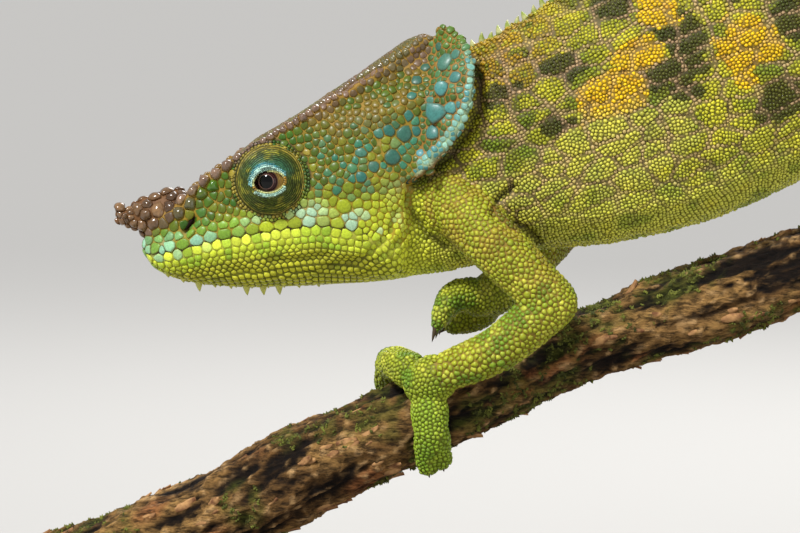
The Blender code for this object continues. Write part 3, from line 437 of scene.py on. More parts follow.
def blob(points, x, z, long, tall, tilt, seed, size=3.0, pull=0.0):
    """A soft, ragged patch on the flanks round one place, seen from the side."""
    along, across = slanted(points[:, 0] - x, points[:, 2] - z, tilt)
    ragged = 0.35 * value_noise(points, size, seed) + 0.2 * value_noise(points, size * 0.4, seed + 1)
    return smoothstep(1.08, 0.92, np.hypot(along / long, across / tall) + ragged + pull)


def skin_cells(points):
    """The trunk's fields of granules: the bare line round them, and each field's number."""
    warp_x = 0.9 * value_noise(points, 4.0, 21)
    warp_z = 0.7 * value_noise(points, 3.0, 22)
    long, tall = 4.4, 2.5
    along, across = slanted(points[:, 0] + warp_x, points[:, 2] + warp_z, 19.0)
    inside, owner = cells(along / long, across / tall + 7.0 * (points[:, 1] > 0.0), 5)
    return smoothstep(0.24, 0.05, inside), owner


def mix(a, b, share):
    """Colour a passing to colour b by share."""
    return a + (b - a) * np.asarray(share)[:, None]


def trunk_colour(points, height):
    """The trunk's ground colour with its dark and yellow patches, and a pool of light painted on the
    flank behind the shoulder. Height is 0 belly to 1 back.
    """
    n = value_noise(points, 2.2, 31)
    fine = value_noise(points, 0.8, 32)
    line, owner = skin_cells(points)
    colour = mix(linear("C8C42C"), linear("A8A820"), smoothstep(0.3, 0.85, height))
    colour = mix(colour, linear("DADA54"), smoothstep(0.32, 0.05, height))
    darker = smoothstep(0.45, 0.9, owner) * smoothstep(0.2, 0.5, height)
    colour = mix(colour, linear("5A6A10"), 0.8 * darker)
    colour = mix(colour, linear("6E8E1A"), 0.5 * smoothstep(0.1, 0.6, n))
    colour = mix(colour, linear("E6DC34"), 0.6 * smoothstep(0.1, 0.7, -n))
    ochre = smoothstep(0.6, 0.85, height + 0.12 * n) * smoothstep(26.0, 14.0, points[:, 0])
    colour = mix(colour, linear("B48A14"), 0.85 * ochre * smoothstep(-0.7, 0.1, fine))
    pull = 0.7 * ((owner * 7.31) % 1.0 - 0.5)
    yellow = np.zeros(len(points))
    for k, (x, z, long, tall, tilt) in enumerate(YELLOW_PATCHES):
        yellow = np.maximum(yellow, blob(points, x, z, long, tall, tilt, 40 + k, 3.0, pull))
    dark = np.zeros(len(points))
    for k, (x, z, long, tall, tilt) in enumerate(DARK_PATCHES):
        dark = np.maximum(dark, blob(points, x, z, long, tall, tilt, 70 + k, 2.0, -pull))
    colour = mix(colour, linear("383E0C"), 0.9 * dark * (1.0 - yellow))
    gold = mix(linear("F6C808"), linear("D09A0C"), smoothstep(0.0, 0.8, fine))
    colour = mix(colour, gold, 0.95 * yellow)
    throat = throat_share(points)
    # The throat's pale yellow-green: partly its own colour, partly painted light that lifts the shade
    # under the chin
    colour = mix(colour, linear("D8E03A"), 0.75 * throat)
    # A pool of light painted on the flank behind the shoulder, a pale wash where sunlight falls
    pale = blob(points, 25.0, 86.0, 15.0, 5.5, 22.0, 96) * (1.0 - throat) * (1.0 - dark)
    colour = mix(colour, linear("E6DE6C"), 0.35 * pale)
    bare = line * smoothstep(0.02, 0.25, height) * smoothstep(1.02, 0.85, height) * (1.0 - throat)
    return mix(colour, linear("C29E76"), 0.75 * bare * (1.0 - 0.4 * yellow))


def limb_colour(points):
    """The legs' yellow-green, darker and more golden towards the shoulder."""
    n = value_noise(points, 3.0, 51)
    fine = value_noise(points, 1.0, 52)
    colour = mix(linear("A2AC26"), linear("6E921E"), smoothstep(-0.1, 0.6, n))
    colour = mix(colour, linear("DCDC4C"), 0.6 * smoothstep(0.15, 0.6, fine))
    forefoot = smoothstep(58.0, 52.0, points[:, 2]) * (points[:, 0] < 30.0)
    colour = mix(colour, linear("8CB42C"), 0.6 * forefoot)
    shoulder = smoothstep(66.0, 74.0, points[:, 2]) * smoothstep(40.0, 30.0, points[:, 0])
    return mix(colour, linear("9A8220"), 0.6 * shoulder * smoothstep(-0.4, 0.4, fine + n))


def head_colour(points):
    """The head above the mouth, from brown crown to green cheek with sky-blue scales."""
    x, _, z = points.T
    reach = np.abs(points[:, 1])
    mouth = curve_at(MOUTH_LINE, x)
    crest = curve_at(CREST_LINE, x)
    level = (z - mouth) / np.maximum(crest - mouth, 1.0)
    n = value_noise(points, 1.6, 61)
    fine = value_noise(points, 0.9, 62)
    colour = mix(linear("4C6016"), linear("7A7E1E"), smoothstep(-0.2, 0.6, n))
    colour = mix(colour, linear("2E6A30"), 0.7 * smoothstep(0.2, 0.7, -n) * smoothstep(-20.0, -24.0, x))
    colour = mix(colour, linear("A2B022"), smoothstep(0.36, 0.14, level))
    cheek = smoothstep(0.3, 0.45, level) * smoothstep(-4.0, -18.0, x)
    colour = mix(colour, linear("2F6418"), 0.7 * smoothstep(-0.1, 0.4, fine) * cheek)
    teal = smoothstep(-13.0, -9.0, x) * smoothstep(0.85, 0.6, level) * smoothstep(0.12, 0.3, level)
    colour = mix(colour, linear("33785E"), 0.9 * teal * smoothstep(-0.1, 0.4, fine))
    front = smoothstep(-17.0, -22.0, x)
    labial = smoothstep(2.1, 1.2, z - mouth) * front
    labial = labial * smoothstep(-0.05, 0.4, value_noise(points, 2.1, 60))
    colour = mix(colour, linear("6E9A34"), 0.85 * smoothstep(3.0, 2.0, z - mouth) * front)
    colour = mix(colour, linear("96CDB4"), 0.9 * labial)
    pale = smoothstep(0.26, 0.12, level) * smoothstep(0.25, 0.55, value_noise(points, 1.8, 63))
    pale = pale * smoothstep(-22.0, -16.0, x)
    patch = np.exp(-(((x + 12.0) / 2.6) ** 2 + ((z - 79.0) / 1.2) ** 2))
    colour = mix(colour, linear("A2C8AC"), 0.85 * np.maximum(pale, patch * smoothstep(-0.5, 0.2, fine)))
    golden = smoothstep(0.55, 0.72, level) * smoothstep(-16.0, -12.0, x)
    colour = mix(colour, linear("6E5A18"), 0.85 * golden * smoothstep(-0.5, 0.3, n))
    ridge = smoothstep(1.0, 0.5, np.abs(z - crest + 0.35)) * smoothstep(2.0, -2.0, x)
    brown = smoothstep(0.86, 0.96, level + 0.05 * n)
    snout = smoothstep(-25.5, -28.5, x) * smoothstep(0.55, 0.8, level)
    colour = mix(colour, linear("5E4834"), np.maximum(brown, snout))
    strip = (smoothstep(4.6, 3.4, reach) * smoothstep(0.9, 0.97, level)
             * smoothstep(-6.0, -12.0, x) * smoothstep(-29.0, -26.0, x))
    colour = mix(colour, linear("8A8A26"), 0.85 * strip)
    colour = mix(colour, linear("7E6450"), 0.8 * ridge)
    roof = smoothstep(4.4, 3.2, reach) * (level > 0.85) * smoothstep(-27.0, -22.0, x)
    return mix(colour, mix(linear("5E5E30"), linear("6A5440"), smoothstep(-0.4, 0.4, n)), 0.8 * roof)


def jaw_colour(points):
    """The lower jaw: pale lip, then bright yellow-green throat."""
    x = points[:, 0]
    below = curve_at(MOUTH_LINE, x) - points[:, 2]
    n = value_noise(points, 1.6, 65)
    colour = mix(linear("BCBC2C"), linear("98A020"), smoothstep(0.0, 0.7, n))
    upper = smoothstep(3.6, 2.4, below)
    colour = mix(colour, linear("C2D032"), upper)
    lip = smoothstep(1.6, 1.0, below) * smoothstep(-10.0, -16.0, x)
    colour = mix(colour, linear("D6E242"), lip)
    green = upper * smoothstep(0.0, 0.45, value_noise(points, 1.2, 64))
    colour = mix(colour, linear("6A9E26"), 0.6 * green)
    cool = lip * smoothstep(0.2, 0.55, value_noise(points, 2.0, 66)) * smoothstep(-14.0, -24.0, x)
    return mix(colour, linear("8AC8A8"), 0.7 * cool)


def flap_colour(points):
    """The ear flap: green to deep turquoise, palest along its rim."""
    x, _, z = points.T
    edge = line_distance(points, FLAP_EDGE)
    n = value_noise(points, 1.2, 67)
    colour = mix(linear("46622A"), linear("4C7A50"), smoothstep(-0.3, 0.5, n))
    colour = mix(colour, linear("4E8CA0"), 0.8 * smoothstep(0.1, 0.6, n) * smoothstep(97.0, 90.0, z))
    colour = mix(colour, linear("3F5F1E"), smoothstep(3.0, 0.5, x) * smoothstep(86.0, 90.0, z))
    colour = mix(colour, linear("55762A"), smoothstep(99.5, 102.0, z))
    rim = smoothstep(1.15, 0.5, edge) * smoothstep(100.5, 98.5, z)
    return mix(colour, mix(linear("4E9092"), linear("9CC8B0"), smoothstep(-0.3, 0.4, n)), 0.85 * rim)


def eye_ring(points):
    """How far outside the slanting eye opening places are, and their angle round it."""
    dx, _, dz = (points - EYE_MIDDLE).T
    along, across = slanted(dx, dz, EYE_TILT)
    oval = np.hypot(along / EYE_OPENING[0], across / EYE_OPENING[1])
    gap = np.hypot(dx, dz) * (1.0 - 1.0 / np.maximum(oval, 0.1))
    return gap, np.degrees(np.arctan2(dz, dx)) % 360.0, np.hypot(dx, dz)


def lid_bands(angle):
    """How wide the pale band on the lids is, above and below the opening, by angle in degrees."""
    above = smoothstep(12.0, 30.0, angle) * smoothstep(200.0, 186.0, angle)
    below = smoothstep(206.0, 218.0, angle) * smoothstep(352.0, 338.0, angle)
    upper = (0.55 + 0.8 * np.exp(-((angle - 115.0) / 55.0) ** 2)) * above
    return upper, 0.55 * below


def turret_colour(points):
    """The eye turret: olive rings, a turquoise arc above the opening and a mint one below."""
    gap, angle, ring = eye_ring(points)
    n = value_noise(points, 0.9, 68)
    fine = value_noise(points, 0.3, 69)
    colour = mix(linear("4C581A"), linear("8E8C2E"), smoothstep(0.05, 0.6, n + 0.6 * fine))
    teal = smoothstep(4.0, 2.8, ring) * smoothstep(-0.7, 0.3, -n)
    teal = teal * smoothstep(0.2, 1.6, points[:, 2] - EYE_MIDDLE[2])
    colour = mix(colour, linear("2E6A50"), 0.75 * teal)
    colour = mix(colour, linear("9A8A34"), smoothstep(4.0, 4.4, ring))
    upper, lower = lid_bands(angle)
    blue = smoothstep(upper + 0.05, upper - 0.2, gap) * (upper > 0.05)
    pale = smoothstep(0.8 * upper + 0.1, 0.8 * upper - 0.25, gap) * (upper > 0.05)
    mint = smoothstep(lower + 0.08, lower - 0.06, gap) * (lower > 0.05)
    colour = mix(colour, linear("3F96A6"), 0.85 * blue)
    colour = mix(colour, linear("C2EAD8"), np.maximum(pale, mint) * smoothstep(-0.8, -0.3, fine))
    rim = smoothstep(0.3, 0.12, gap)
    colour = mix(colour, linear("D8D070"), 0.8 * rim * (np.maximum(upper, lower) > 0.2))
    corner = smoothstep(0.35, 0.1, gap) * (np.maximum(upper, lower) <= 0.2)
    colour = mix(colour, linear("B48A2E"), corner)
    inside = smoothstep(0.02, -0.12, gap)
    colour = mix(colour, linear("94742A"), inside)
    pupil = np.hypot(points[:, 0] - PUPIL_MIDDLE[0], points[:, 2] - PUPIL_MIDDLE[1])
    folded = smoothstep(-0.4, 0.6, np.cos(pupil * 26.0 + 2.0 * n))
    colour = mix(colour, linear("3A1E12"), 0.75 * folded * inside * smoothstep(2.25, 1.8, pupil))
    return mix(colour, linear("2A100A"), smoothstep(1.7, 1.45, pupil) * inside)


def tail_colour(points):
    """The tail: the trunk's greens in soft drifting patches."""
    n = value_noise(points, 3.2, 71)
    colour = mix(linear("ACA82C"), linear("6A7E1E"), smoothstep(0.05, 0.5, n))
    return mix(colour, linear("C0B83A"), 0.6 * smoothstep(0.2, 0.7, -n))


def horn_colour(points):
    """The snout horn's pinkish brown."""
    n = value_noise(points, 1.3, 75)
    return mix(linear("4E3824"), linear("7A5C3C"), smoothstep(-0.3, 0.6, n))


def trunk_height(points):
    """How high a point lies on the trunk, from 0 at the belly to 1 at the back."""
    back = curve_at(BACK_LINE, points[:, 0])
    belly = curve_at(BELLY_LINE, points[:, 0])
    return (points[:, 2] - belly) / (back - belly)


def throat_share(points):
    """How much of the throat's look points take, from 1 under the jaw to 0 on the neck."""
    return smoothstep(9.0, 2.0, points[:, 0]) * smoothstep(84.0, 80.0, points[:, 2])


def nostril_gap(points):
    """How far points lie from either nostril."""
    return line_distance(points, NOSTRIL) + 6.0 * (np.abs(points[:, 1]) < 1.5)


def surface_colour(points, region):
    """The colour of skin and coat at points, by region, blended where the head meets the neck, and
    darkened in the skin's creases as painted shade.
    """
    colour = region_colour(points, region)
    x = points[:, 0] + 0.9 * value_noise(points, 1.4, 78)
    low = smoothstep(85.0, 82.0, points[:, 2])
    near = (np.isin(region, (HEAD, JAW)) & (x > -7.0)) | ((region == TRUNK) & (x < 6.0))
    share = smoothstep(-6.0, 2.5, x) * low
    if near.any():
        neck = region_colour(points[near], np.full(near.sum(), TRUNK))
        front = region_colour(points[near], np.where(points[near, 2] > 76.5, HEAD, JAW))
        blended = mix(front, neck, share[near])
        own = low[near][:, None]
        colour[near] = colour[near] * (1.0 - own) + blended * own
    # Painted shade in the creases of the skin: skin and scales darker on the flanks where the folds cut
    # in
    deep = smoothstep(0.12, 0.75, crease_depth(points)) * (np.abs(points[:, 1]) > 2.5)
    return colour * (1.0 - 0.6 * deep)[:, None]


def region_colour(points, region):
    """The colour of each region's own marking at points."""
    colour = np.zeros((len(points), 3))
    painters = {"head": head_colour, "jaw": jaw_colour, "flap": flap_colour, "horn": horn_colour,
                "turret": turret_colour, "tail": tail_colour, "limb": limb_colour,
                "foot": limb_colour,
                "trunk": lambda p: trunk_colour(p, trunk_height(p))}
    for number, name in enumerate(REGIONS):
        chosen = region == number
        if chosen.any():
            colour[chosen] = painters[name](points[chosen])
    return colour


def bare_colour(points, region):
    """The colour of the bare skin between scales, by region, with painted shade in its crevices, along
    the mouth, in the nostrils and in the groove round each turret.
    """
    # Part of the darkness of these tones, most of all on the trunk and tail, is painted shade in the
    # crevices between the scales; the rest is the skin's own colour
    tones = {"head": "A07C22", "jaw": "8A8424", "flap": "A8742E", "turret": "26300F",
             "trunk": "3A3014", "tail": "322E14", "limb": "86602A", "foot": "5E5A20", "horn": "744C26"}
    colour = np.array([linear(tones[name]) for name in REGIONS])[region]
    edge = line_distance(points, FLAP_EDGE)
    colour = mix(colour, linear("98A878"), (region == FLAP) * smoothstep(0.9, 0.4, edge))
    deep = curve_at(MOUTH_LINE, points[:, 0]) - points[:, 2]
    colour = mix(colour, linear("44440F"), (region == JAW) * smoothstep(2.6, 3.6, deep))
    colour = mix(colour, linear("B0AC44"), (region == JAW) * smoothstep(2.6, 1.6, deep))
    colour = mix(colour, linear("7A7624"), throat_share(points) * (region == TRUNK))
    colour = mix(colour, surface_colour(points, region), np.full(len(points), 0.25))
    # Painted shade in the crack of the mouth, a dark line where the jaws meet
    mouth = np.abs(points[:, 2] - curve_at(MOUTH_LINE, points[:, 0]))
    mouth_line_shade = smoothstep(0.5, 0.25, mouth) * (points[:, 0] < -4.0)
    colour = mix(colour, linear("2E2012"), mouth_line_shade * np.isin(region, (HEAD, JAW)))
    # Painted shade in the hollow of each nostril
    colour = mix(colour, linear("120C06"), smoothstep(0.5, 0.25, nostril_gap(points)))
    gap, _, ring = eye_ring(points)
    lid = (region == TURRET) * (ring < 3.0)
    colour = mix(colour, linear("3A1C12"), smoothstep(0.25, 0.1, gap) * lid)
    # Painted shade in the groove where each turret meets the head
    groove = smoothstep(0.7, 0.2, np.abs(ring - TURRET_EDGE)) * (np.abs(points[:, 1]) > 4.0)
    return mix(colour, linear("1E2410"), groove * np.isin(region, (HEAD, TURRET)))


def node(tree, kind, links=None, **settings):
    """Adds one shader or geometry node, with values for its sockets and links into them."""
    made = tree.nodes.new(kind)
    for key, value in settings.items():
        setattr(made, key, value)
    for name, value in (links or {}).items():
        socket = made.inputs[name]
        if isinstance(value, bpy.types.NodeSocket):
            tree.links.new(value, socket)
        else:
            socket.default_value = value
    return made


def new_material(name):
    """An empty material with a Principled shader: the material, its tree and the shader."""
    made = bpy.data.materials.new(name)
    made.use_nodes = True
    tree = made.node_tree
    return made, tree, tree.nodes["Principled BSDF"]


def tinted_material(name, roughness, fine, bump, vary, coat=0.0):
    """Skin or keratin that takes its colour from the tint attribute, with fine mottling."""
    made, tree, shader = new_material(name)
    tint = node(tree, "ShaderNodeVertexColor", layer_name="tint")
    place = node(tree, "ShaderNodeTexCoord")
    mottle = node(tree, "ShaderNodeTexNoise", {"Vector": place.outputs["Object"],
                                               "Scale": 1.0 / (fine * MM), "Detail": 3.0})
    bright = node(tree, "ShaderNodeMapRange", {"Value": mottle.outputs["Fac"], "From Min": 0.3,
                                               "From Max": 0.7, "To Min": 1.0 - vary,
                                               "To Max": 1.0 + vary})
    colour = node(tree, "ShaderNodeVectorMath", operation="SCALE")
    tree.links.new(tint.outputs["Color"], colour.inputs[0])
    tree.links.new(bright.outputs["Result"], colour.inputs["Scale"])
    rise = node(tree, "ShaderNodeBump", {"Height": mottle.outputs["Fac"], "Strength": bump,
                                         "Distance": 0.05 * MM})
    tree.links.new(colour.outputs["Vector"], shader.inputs["Base Color"])
    tree.links.new(rise.outputs["Normal"], shader.inputs["Normal"])
    shader.inputs["Roughness"].default_value = roughness
    shader.inputs["Coat Weight"].default_value = coat
    shader.inputs["Coat Roughness"].default_value = 0.2
    shader.inputs["Specular IOR Level"].default_value = 0.3
    return made


def eased_places(points, region):
    """Where the solids' knobs, spines and joints are smoothed away under the coat, from 0 to 1."""
    x, _, z = points.T
    reach = np.abs(points[:, 1])
    throat = smoothstep(-5.0, -2.0, x) * smoothstep(6.5, 3.5, x) * smoothstep(84.0, 81.5, z)
    throat = throat * (z > 60.0)
    chin = (region == JAW) * smoothstep(2.2, 1.2, reach) * (z < 74.0)
    back = (region == TRUNK) * smoothstep(2.4, 1.4, reach)
    back = back * smoothstep(0.9, 0.96, trunk_height(points))
    crest = (region == HEAD) * smoothstep(1.4, 0.7, np.abs(z - curve_at(CREST_LINE, x) - 0.2))
    crest = 0.5 * crest * (x < 2.0)
    claw = np.zeros(len(points))
    for ends in CLAWS:
        gap = np.linalg.norm(points - np.array(ends).sum(axis=0) / 2, axis=1)
        claw = np.maximum(claw, smoothstep(1.3, 0.8, gap))
    return np.maximum.reduce([throat, chin, back, crest, claw])


def skin_rise(points, normals, region):
    """How far the skin stands out from the solids, less its folds, seams and nostrils."""
    swell = 0.3 * (region == FOOT) - 0.1 * (region == TURRET)
    high = points[:, 2] - curve_at(CREST_LINE, points[:, 0])
    roof = smoothstep(4.6, 1.5, np.abs(points[:, 1])) * smoothstep(-2.5, -0.5, high)
    roof = 1.1 * (roof * (normals[:, 2] > 0.3)) * smoothstep(-24.0, -18.0, points[:, 0])
    swell = swell + np.where(region == HEAD, roof * smoothstep(5.0, 1.0, points[:, 0]), 0.0)
    line, _ = skin_cells(points)
    trunk = region == TRUNK
    height = trunk_height(points)
    fields = np.where(trunk, 0.26 * line * smoothstep(0.05, 0.25, height), 0.0)
    swell = swell + np.where(trunk, 0.12 * value_noise(points, 2.6, 91), 0.0)
    flank = smoothstep(0.2, 0.5, np.abs(normals[:, 1]))
    nostril = 0.9 * smoothstep(0.6, 0.15, nostril_gap(points))
    folds = crease_depth(points) * flank + fields + nostril
    return swell - folds - SKIN_INSET


def build_skin():
    """The bare skin under all the scales, one closed mesh over every node of flesh."""
    points, loops, sizes, edges = voxel_mesh(FLESH, SKIN_VOXEL, 4)
    region = nearest_region(points)
    points = ease(points, edges, 0.6 * eased_places(points, region), 24)
    chin = curve_at(CHIN_LINE, points[:, 0])
    spike = (region == JAW) & (np.abs(points[:, 1]) < 1.4) & (points[:, 2] < chin)
    points[spike, 2] = chin[spike]
    normals, _, _ = point_normals(points, loops)
    points = points + normals * skin_rise(points, normals, region)[:, None]
    normals, quads, across = point_normals(points, loops)
    mesh = mesh_from("skin", points, sizes, loops)
    paint(mesh, bare_colour(points, region))
    skin = new_piece("skin", mesh)
    bpy.context.view_layer.objects.active = skin
    skin.select_set(True)
    bpy.ops.object.mode_set(mode="EDIT")
    bpy.ops.mesh.select_all(action="SELECT")
    bpy.ops.uv.smart_project(angle_limit=math.radians(75.0), island_margin=0.001)
    bpy.ops.object.mode_set(mode="OBJECT")
    skin.select_set(False)
    mesh.uv_layers[0].name = "OFBake"
    flat = np.empty(len(mesh.loops) * 2)
    mesh.uv_layers["OFBake"].data.foreach_get("uv", flat)
    corners = flat.reshape(-1, 4, 2)
    face_uv = (corners[:, 0] + corners[:, 2]) / 2
    surface = {"points": points, "normals": normals, "region": region, "quads": quads,
               "area": np.linalg.norm(across, axis=1) / 2, "uv": face_uv}
    surface["tree"] = BVHTree.FromPolygons(points.tolist(), quads.tolist())
    return skin, surface


def scale_sizes(points, region, rng):
    """The wanted width of a scale at each place."""
    size = np.array([SPACING[name] for name in REGIONS])[region]
    luck = rng.random(len(points))
    x, _, z = points.T
    mouth = curve_at(MOUTH_LINE, x)
    level = (z - mouth) / np.maximum(curve_at(CREST_LINE, x) - mouth, 1.0)
    head = region == HEAD
    snout = smoothstep(-21.0, -25.0, x)
    roof = smoothstep(0.92, 1.02, level)
    corner = smoothstep(-6.0, 0.0, x) * smoothstep(84.0, 81.0, z)
    size[head] = ((0.74 + 0.36 * luck) * (1.0 + 0.25 * snout) * (1.0 - 0.3 * roof)
                  * (1.0 - 0.3 * corner))[head]
    flap = region == FLAP
    size[flap] = (0.62 + 0.34 * luck)[flap]
    rear = smoothstep(53.0, 64.0, x)
    body = (region >= TRUNK) & (region <= FOOT)
    size[body] *= (1.0 + 0.2 * rear + 0.2 * (luck - 0.5))[body]
    limb = region == LIMB
    outer = smoothstep(66.0, 60.0, z) * (x < 30.0)
    size[limb] *= (1.0 + 0.24 * outer + 0.5 * (luck > 0.96))[limb]
    horn = region == HORN
    size[horn] = ((1.25 + 0.65 * luck) * (1.0 - 0.42 * smoothstep(-34.4, -35.6, x)))[horn]
    return size


def side_hit(tree, x, z, side):
    """The place on the skin straight in from one side."""
    return tree.ray_cast(Vector((x, side * 40.0, z)), Vector((0.0, -side, 0.0)))[0]


def row_along(tree, line, start, end, step, lift, side):
    """Places in a row that follows a line on the animal's side."""
    places = []
    for x in np.arange(start, end, step):
        hit = side_hit(tree, x, float(curve_at(line, x)) + lift, side)
        if hit:
            places.append(hit[:])
    return places


def lengths_along(path):
    """How far each point of a path is from its start, along it."""
    return np.concatenate(([0.0], np.cumsum(np.linalg.norm(np.diff(path, axis=0), axis=1))))


def throat_rows(tree, side):
    """Places in lengthwise rows of bricks from the lower lip round under the throat."""
    places = []
    phase = np.random.default_rng(SEED + 7).integers(0, 4, 60)
    for number, x in enumerate(np.arange(-34.2, -1.0, 0.21)):
        mouth = float(curve_at(MOUTH_LINE, x))
        middle = Vector((x, 0.0, mouth - 2.6))
        path = []
        for angle in np.radians(np.arange(35.0, -91.0, -3.0)):
            way = Vector((0.0, side * math.cos(angle), math.sin(angle)))
            hit = tree.ray_cast(middle + way * 11.5, -way, 11.5)[0]
            if hit and hit.z < mouth - 0.9:
                path.append(hit)
        if len(path) < 3:
            continue
        path = np.array([p[:] for p in path])
        along = lengths_along(path)
        for row in range(60):
            offset = 1.35 + 0.53 * row
            if offset < along[-1] - 0.15 and (number + phase[row]) % 4 == 0:
                places.append([np.interp(offset, along, path[:, k]) for k in range(3)])
    return places


def trunk_rows(surface):
    """Places in wavy rows round the trunk, each row a ring of granules."""
    tree = surface["tree"]
    region = surface["region"]
    quads = surface["quads"]
    places = []
    sizes = []
    rng = np.random.default_rng(SEED + 3)
    lean = math.radians(14.0)
    along = Vector((math.cos(lean), 0.0, math.sin(lean)))
    up = Vector((-math.sin(lean), 0.0, math.cos(lean)))
    x = 2.0
    number = 0
    while x < 108.0:
        step = 0.47 + 0.13 * float(smoothstep(50.0, 62.0, x))
        middle = Vector((x, 0.0, float(curve_at(TRUNK_LINE, x))))
        path = []
        mine = []
        for angle in np.radians(np.arange(0.0, 361.0, 2.0)):
            wave = 0.5 * math.sin(angle * 5.0 + 0.25 * x) + 0.3 * math.sin(angle * 11.0 + 0.4 * x)
            start = middle + along * wave
            way = Vector((0.0, math.cos(angle), 0.0)) + up * math.sin(angle)
            hit, _, face, _ = tree.ray_cast(start, way, 30.0)
            path.append(hit[:] if hit else (middle + way * 10.0)[:])
            mine.append(bool(hit) and region[quads[face, 0]] == TRUNK)
        path = np.array(path)
        mine = np.array(mine)
        reach = lengths_along(path)
        count = int(reach[-1] / step)
        for k in range(count):
            offset = (k + 0.5 * (number % 2)) * reach[-1] / count
            at = min(int(np.searchsorted(reach, offset)), len(mine) - 1)
            if mine[at] and mine[at - 1]:
                place = np.array([np.interp(offset, reach, path[:, axis]) for axis in range(3)])
                places.append((place + (rng.random(3) - 0.5) * 0.42 * step).tolist())
                sizes.append(step * (0.86 + 0.28 * rng.random()))
        x += step * 0.94
        number += 1
    return places, sizes


def chosen_scales(surface):
    """The scales that a person would draw one by one: lips, throat rows, crests and plates."""
    tree = surface["tree"]
    places = []
    kinds = []
    sizes = []

    def add(found, kind, size):
        places.extend(found)
        kinds.extend([KINDS.index(kind)] * len(found))
        sizes.extend([size] * len(found))

    for _, side in SIDES:
        for start, end, step, lift, size, kind in MOUTH_ROWS:
            add(row_along(tree, MOUTH_LINE, start, end, step, lift, side), kind, size)
        add(throat_rows(tree, side), "jaw", 0.7)
        edge = np.array(FLAP_EDGE)
        along = lengths_along(edge)
        for place in np.arange(0.4, along[-1], 0.85):
            x, z = [float(np.interp(place, along, edge[:, k])) for k in (0, 1)]
            hit = side_hit(tree, x - 0.55, z + 0.1, side)
            if hit and abs(hit.y) > 4.0:
                add([hit[:]], "flap", 0.8)
        for x, z, size in PLATES:
            hit = side_hit(tree, x, z, side)
            if hit:
                add([hit[:]], "flap" if x > 0.0 else "head", size)
        for start, end, step, lift, size in CREST_ROWS:
            add(row_along(tree, CREST_LINE, start, end, step, lift, side), "crest", size)
    found, widths = trunk_rows(surface)
    places.extend(found)
    kinds.extend([KINDS.index("trunk")] * len(found))
    sizes.extend(widths)
    return np.array(places), np.array(kinds), np.array(sizes)


def point_tree(rows):
    """A search tree over a list of places."""
    tree = KDTree(len(rows))
    for number, place in enumerate(rows):
        tree.insert(place, number)
    tree.balance()
    return tree


def scatter(surface, seed):
    """Scales all over the skin, first the chosen ones, then others wherever there is room."""
    rng = np.random.default_rng(seed)
    points = surface["points"]
    quads = surface["quads"]
    face_region = surface["region"][quads[:, 0]]
    base = np.array([SPACING[name] for name in REGIONS])[face_region]
    base[np.isin(face_region, (HEAD, FLAP, HORN))] = 0.6
    chance = surface["area"] / base ** 2
    amount = int(chance.sum() * 8.0)
    picks = rng.choice(len(quads), amount, p=chance / chance.sum())
    u = rng.random((amount, 1))
    v = rng.random((amount, 1))
    q = points[quads[picks]]
    places = ((q[:, 0] * (1 - u) + q[:, 1] * u) * (1 - v) + (q[:, 3] * (1 - u) + q[:, 2] * u) * v)
    kind = face_region[picks]
    keep = kind != TURRET
    places, kind = places[keep], kind[keep]
    size = scale_sizes(places, kind, rng)
    first_places, first_kind, first_size = chosen_scales(surface)
    fixed = len(first_places)
    places = np.vstack([first_places, places])
    kind = np.concatenate([first_kind, kind])
    size = np.concatenate([first_size, size])
    facing = [surface["tree"].find_nearest(p)[1] for p in places.tolist()]
    rows = places.tolist()
    tree = point_tree(rows)
    alive = bytearray(b"\x01") * len(places)
    widths = size.tolist()
    kept = []
    largest = 2.8
    for i, p in enumerate(rows):
        if not alive[i]:
            continue
        kept.append(i)
        mine = widths[i]
        reach = mine * 0.95 if i >= fixed else (mine + largest) * 0.46
        for _, j, gap in tree.find_range(p, min(reach, mine * 1.1)):
            near = (mine + widths[j]) * (0.45 if j >= fixed else 0.38)
            if j > i and gap < near and facing[i].dot(facing[j]) > 0.0:
                alive[j] = 0
    kept = np.array(kept)
    return places[kept], kind[kept], size[kept], kept < fixed


def neighbours(places, count):
    """For each place the numbers of the nearest other places."""
    rows = places.tolist()
    tree = point_tree(rows)
    found = [[j for _, j, _ in tree.find_n(p, count + 1)] for p in rows]
    return np.array(found)[:, 1:]


def settle(places, size, fixed, surface, rounds):
    """Pushes crowded scales apart along the skin, so that they pack evenly."""
    tree = surface["tree"]
    loose = ~fixed
    for _ in range(rounds):
        near = neighbours(places, 8)
        apart = places[:, None, :] - places[near]
        gap = np.maximum(np.linalg.norm(apart, axis=2), 1e-6)
        want = (size[:, None] + size[near]) * 0.54
        push = np.maximum(want - gap, 0.0) / gap
        moved = places + 0.28 * (apart * push[:, :, None]).sum(axis=1)
        places = places.copy()
        places[loose] = [tree.find_nearest(p)[0] for p in moved[loose].tolist()]
    return places


def ring_scales(surface, side):
    """Places and widths of the beads round the rim of one turret, ring by ring."""
    tree = surface["tree"]
    places = []
    size = []
    radius = 4.72
    while radius < TURRET_EDGE + 0.1:
        step = 0.27 + 0.012 * radius
        count = int(2 * math.pi * radius / (step * 1.5))
        phase = value_noise(np.array([[radius, 0.0, 0.0]]), 0.1, 3)[0] * 3.0
        for k in range(count):
            a = 2 * math.pi * (k + phase) / count
            start = Vector((EYE_MIDDLE[0] + radius * math.cos(a), side * 14.0,
                            EYE_MIDDLE[2] + radius * math.sin(a)))
            hit = tree.ray_cast(start, Vector((0.0, -side, 0.0)), 12.0)[0]
            if hit:
                places.append(hit[:])
                size.append(step)
        radius += step * 0.92
    return np.array(places), np.array(size)


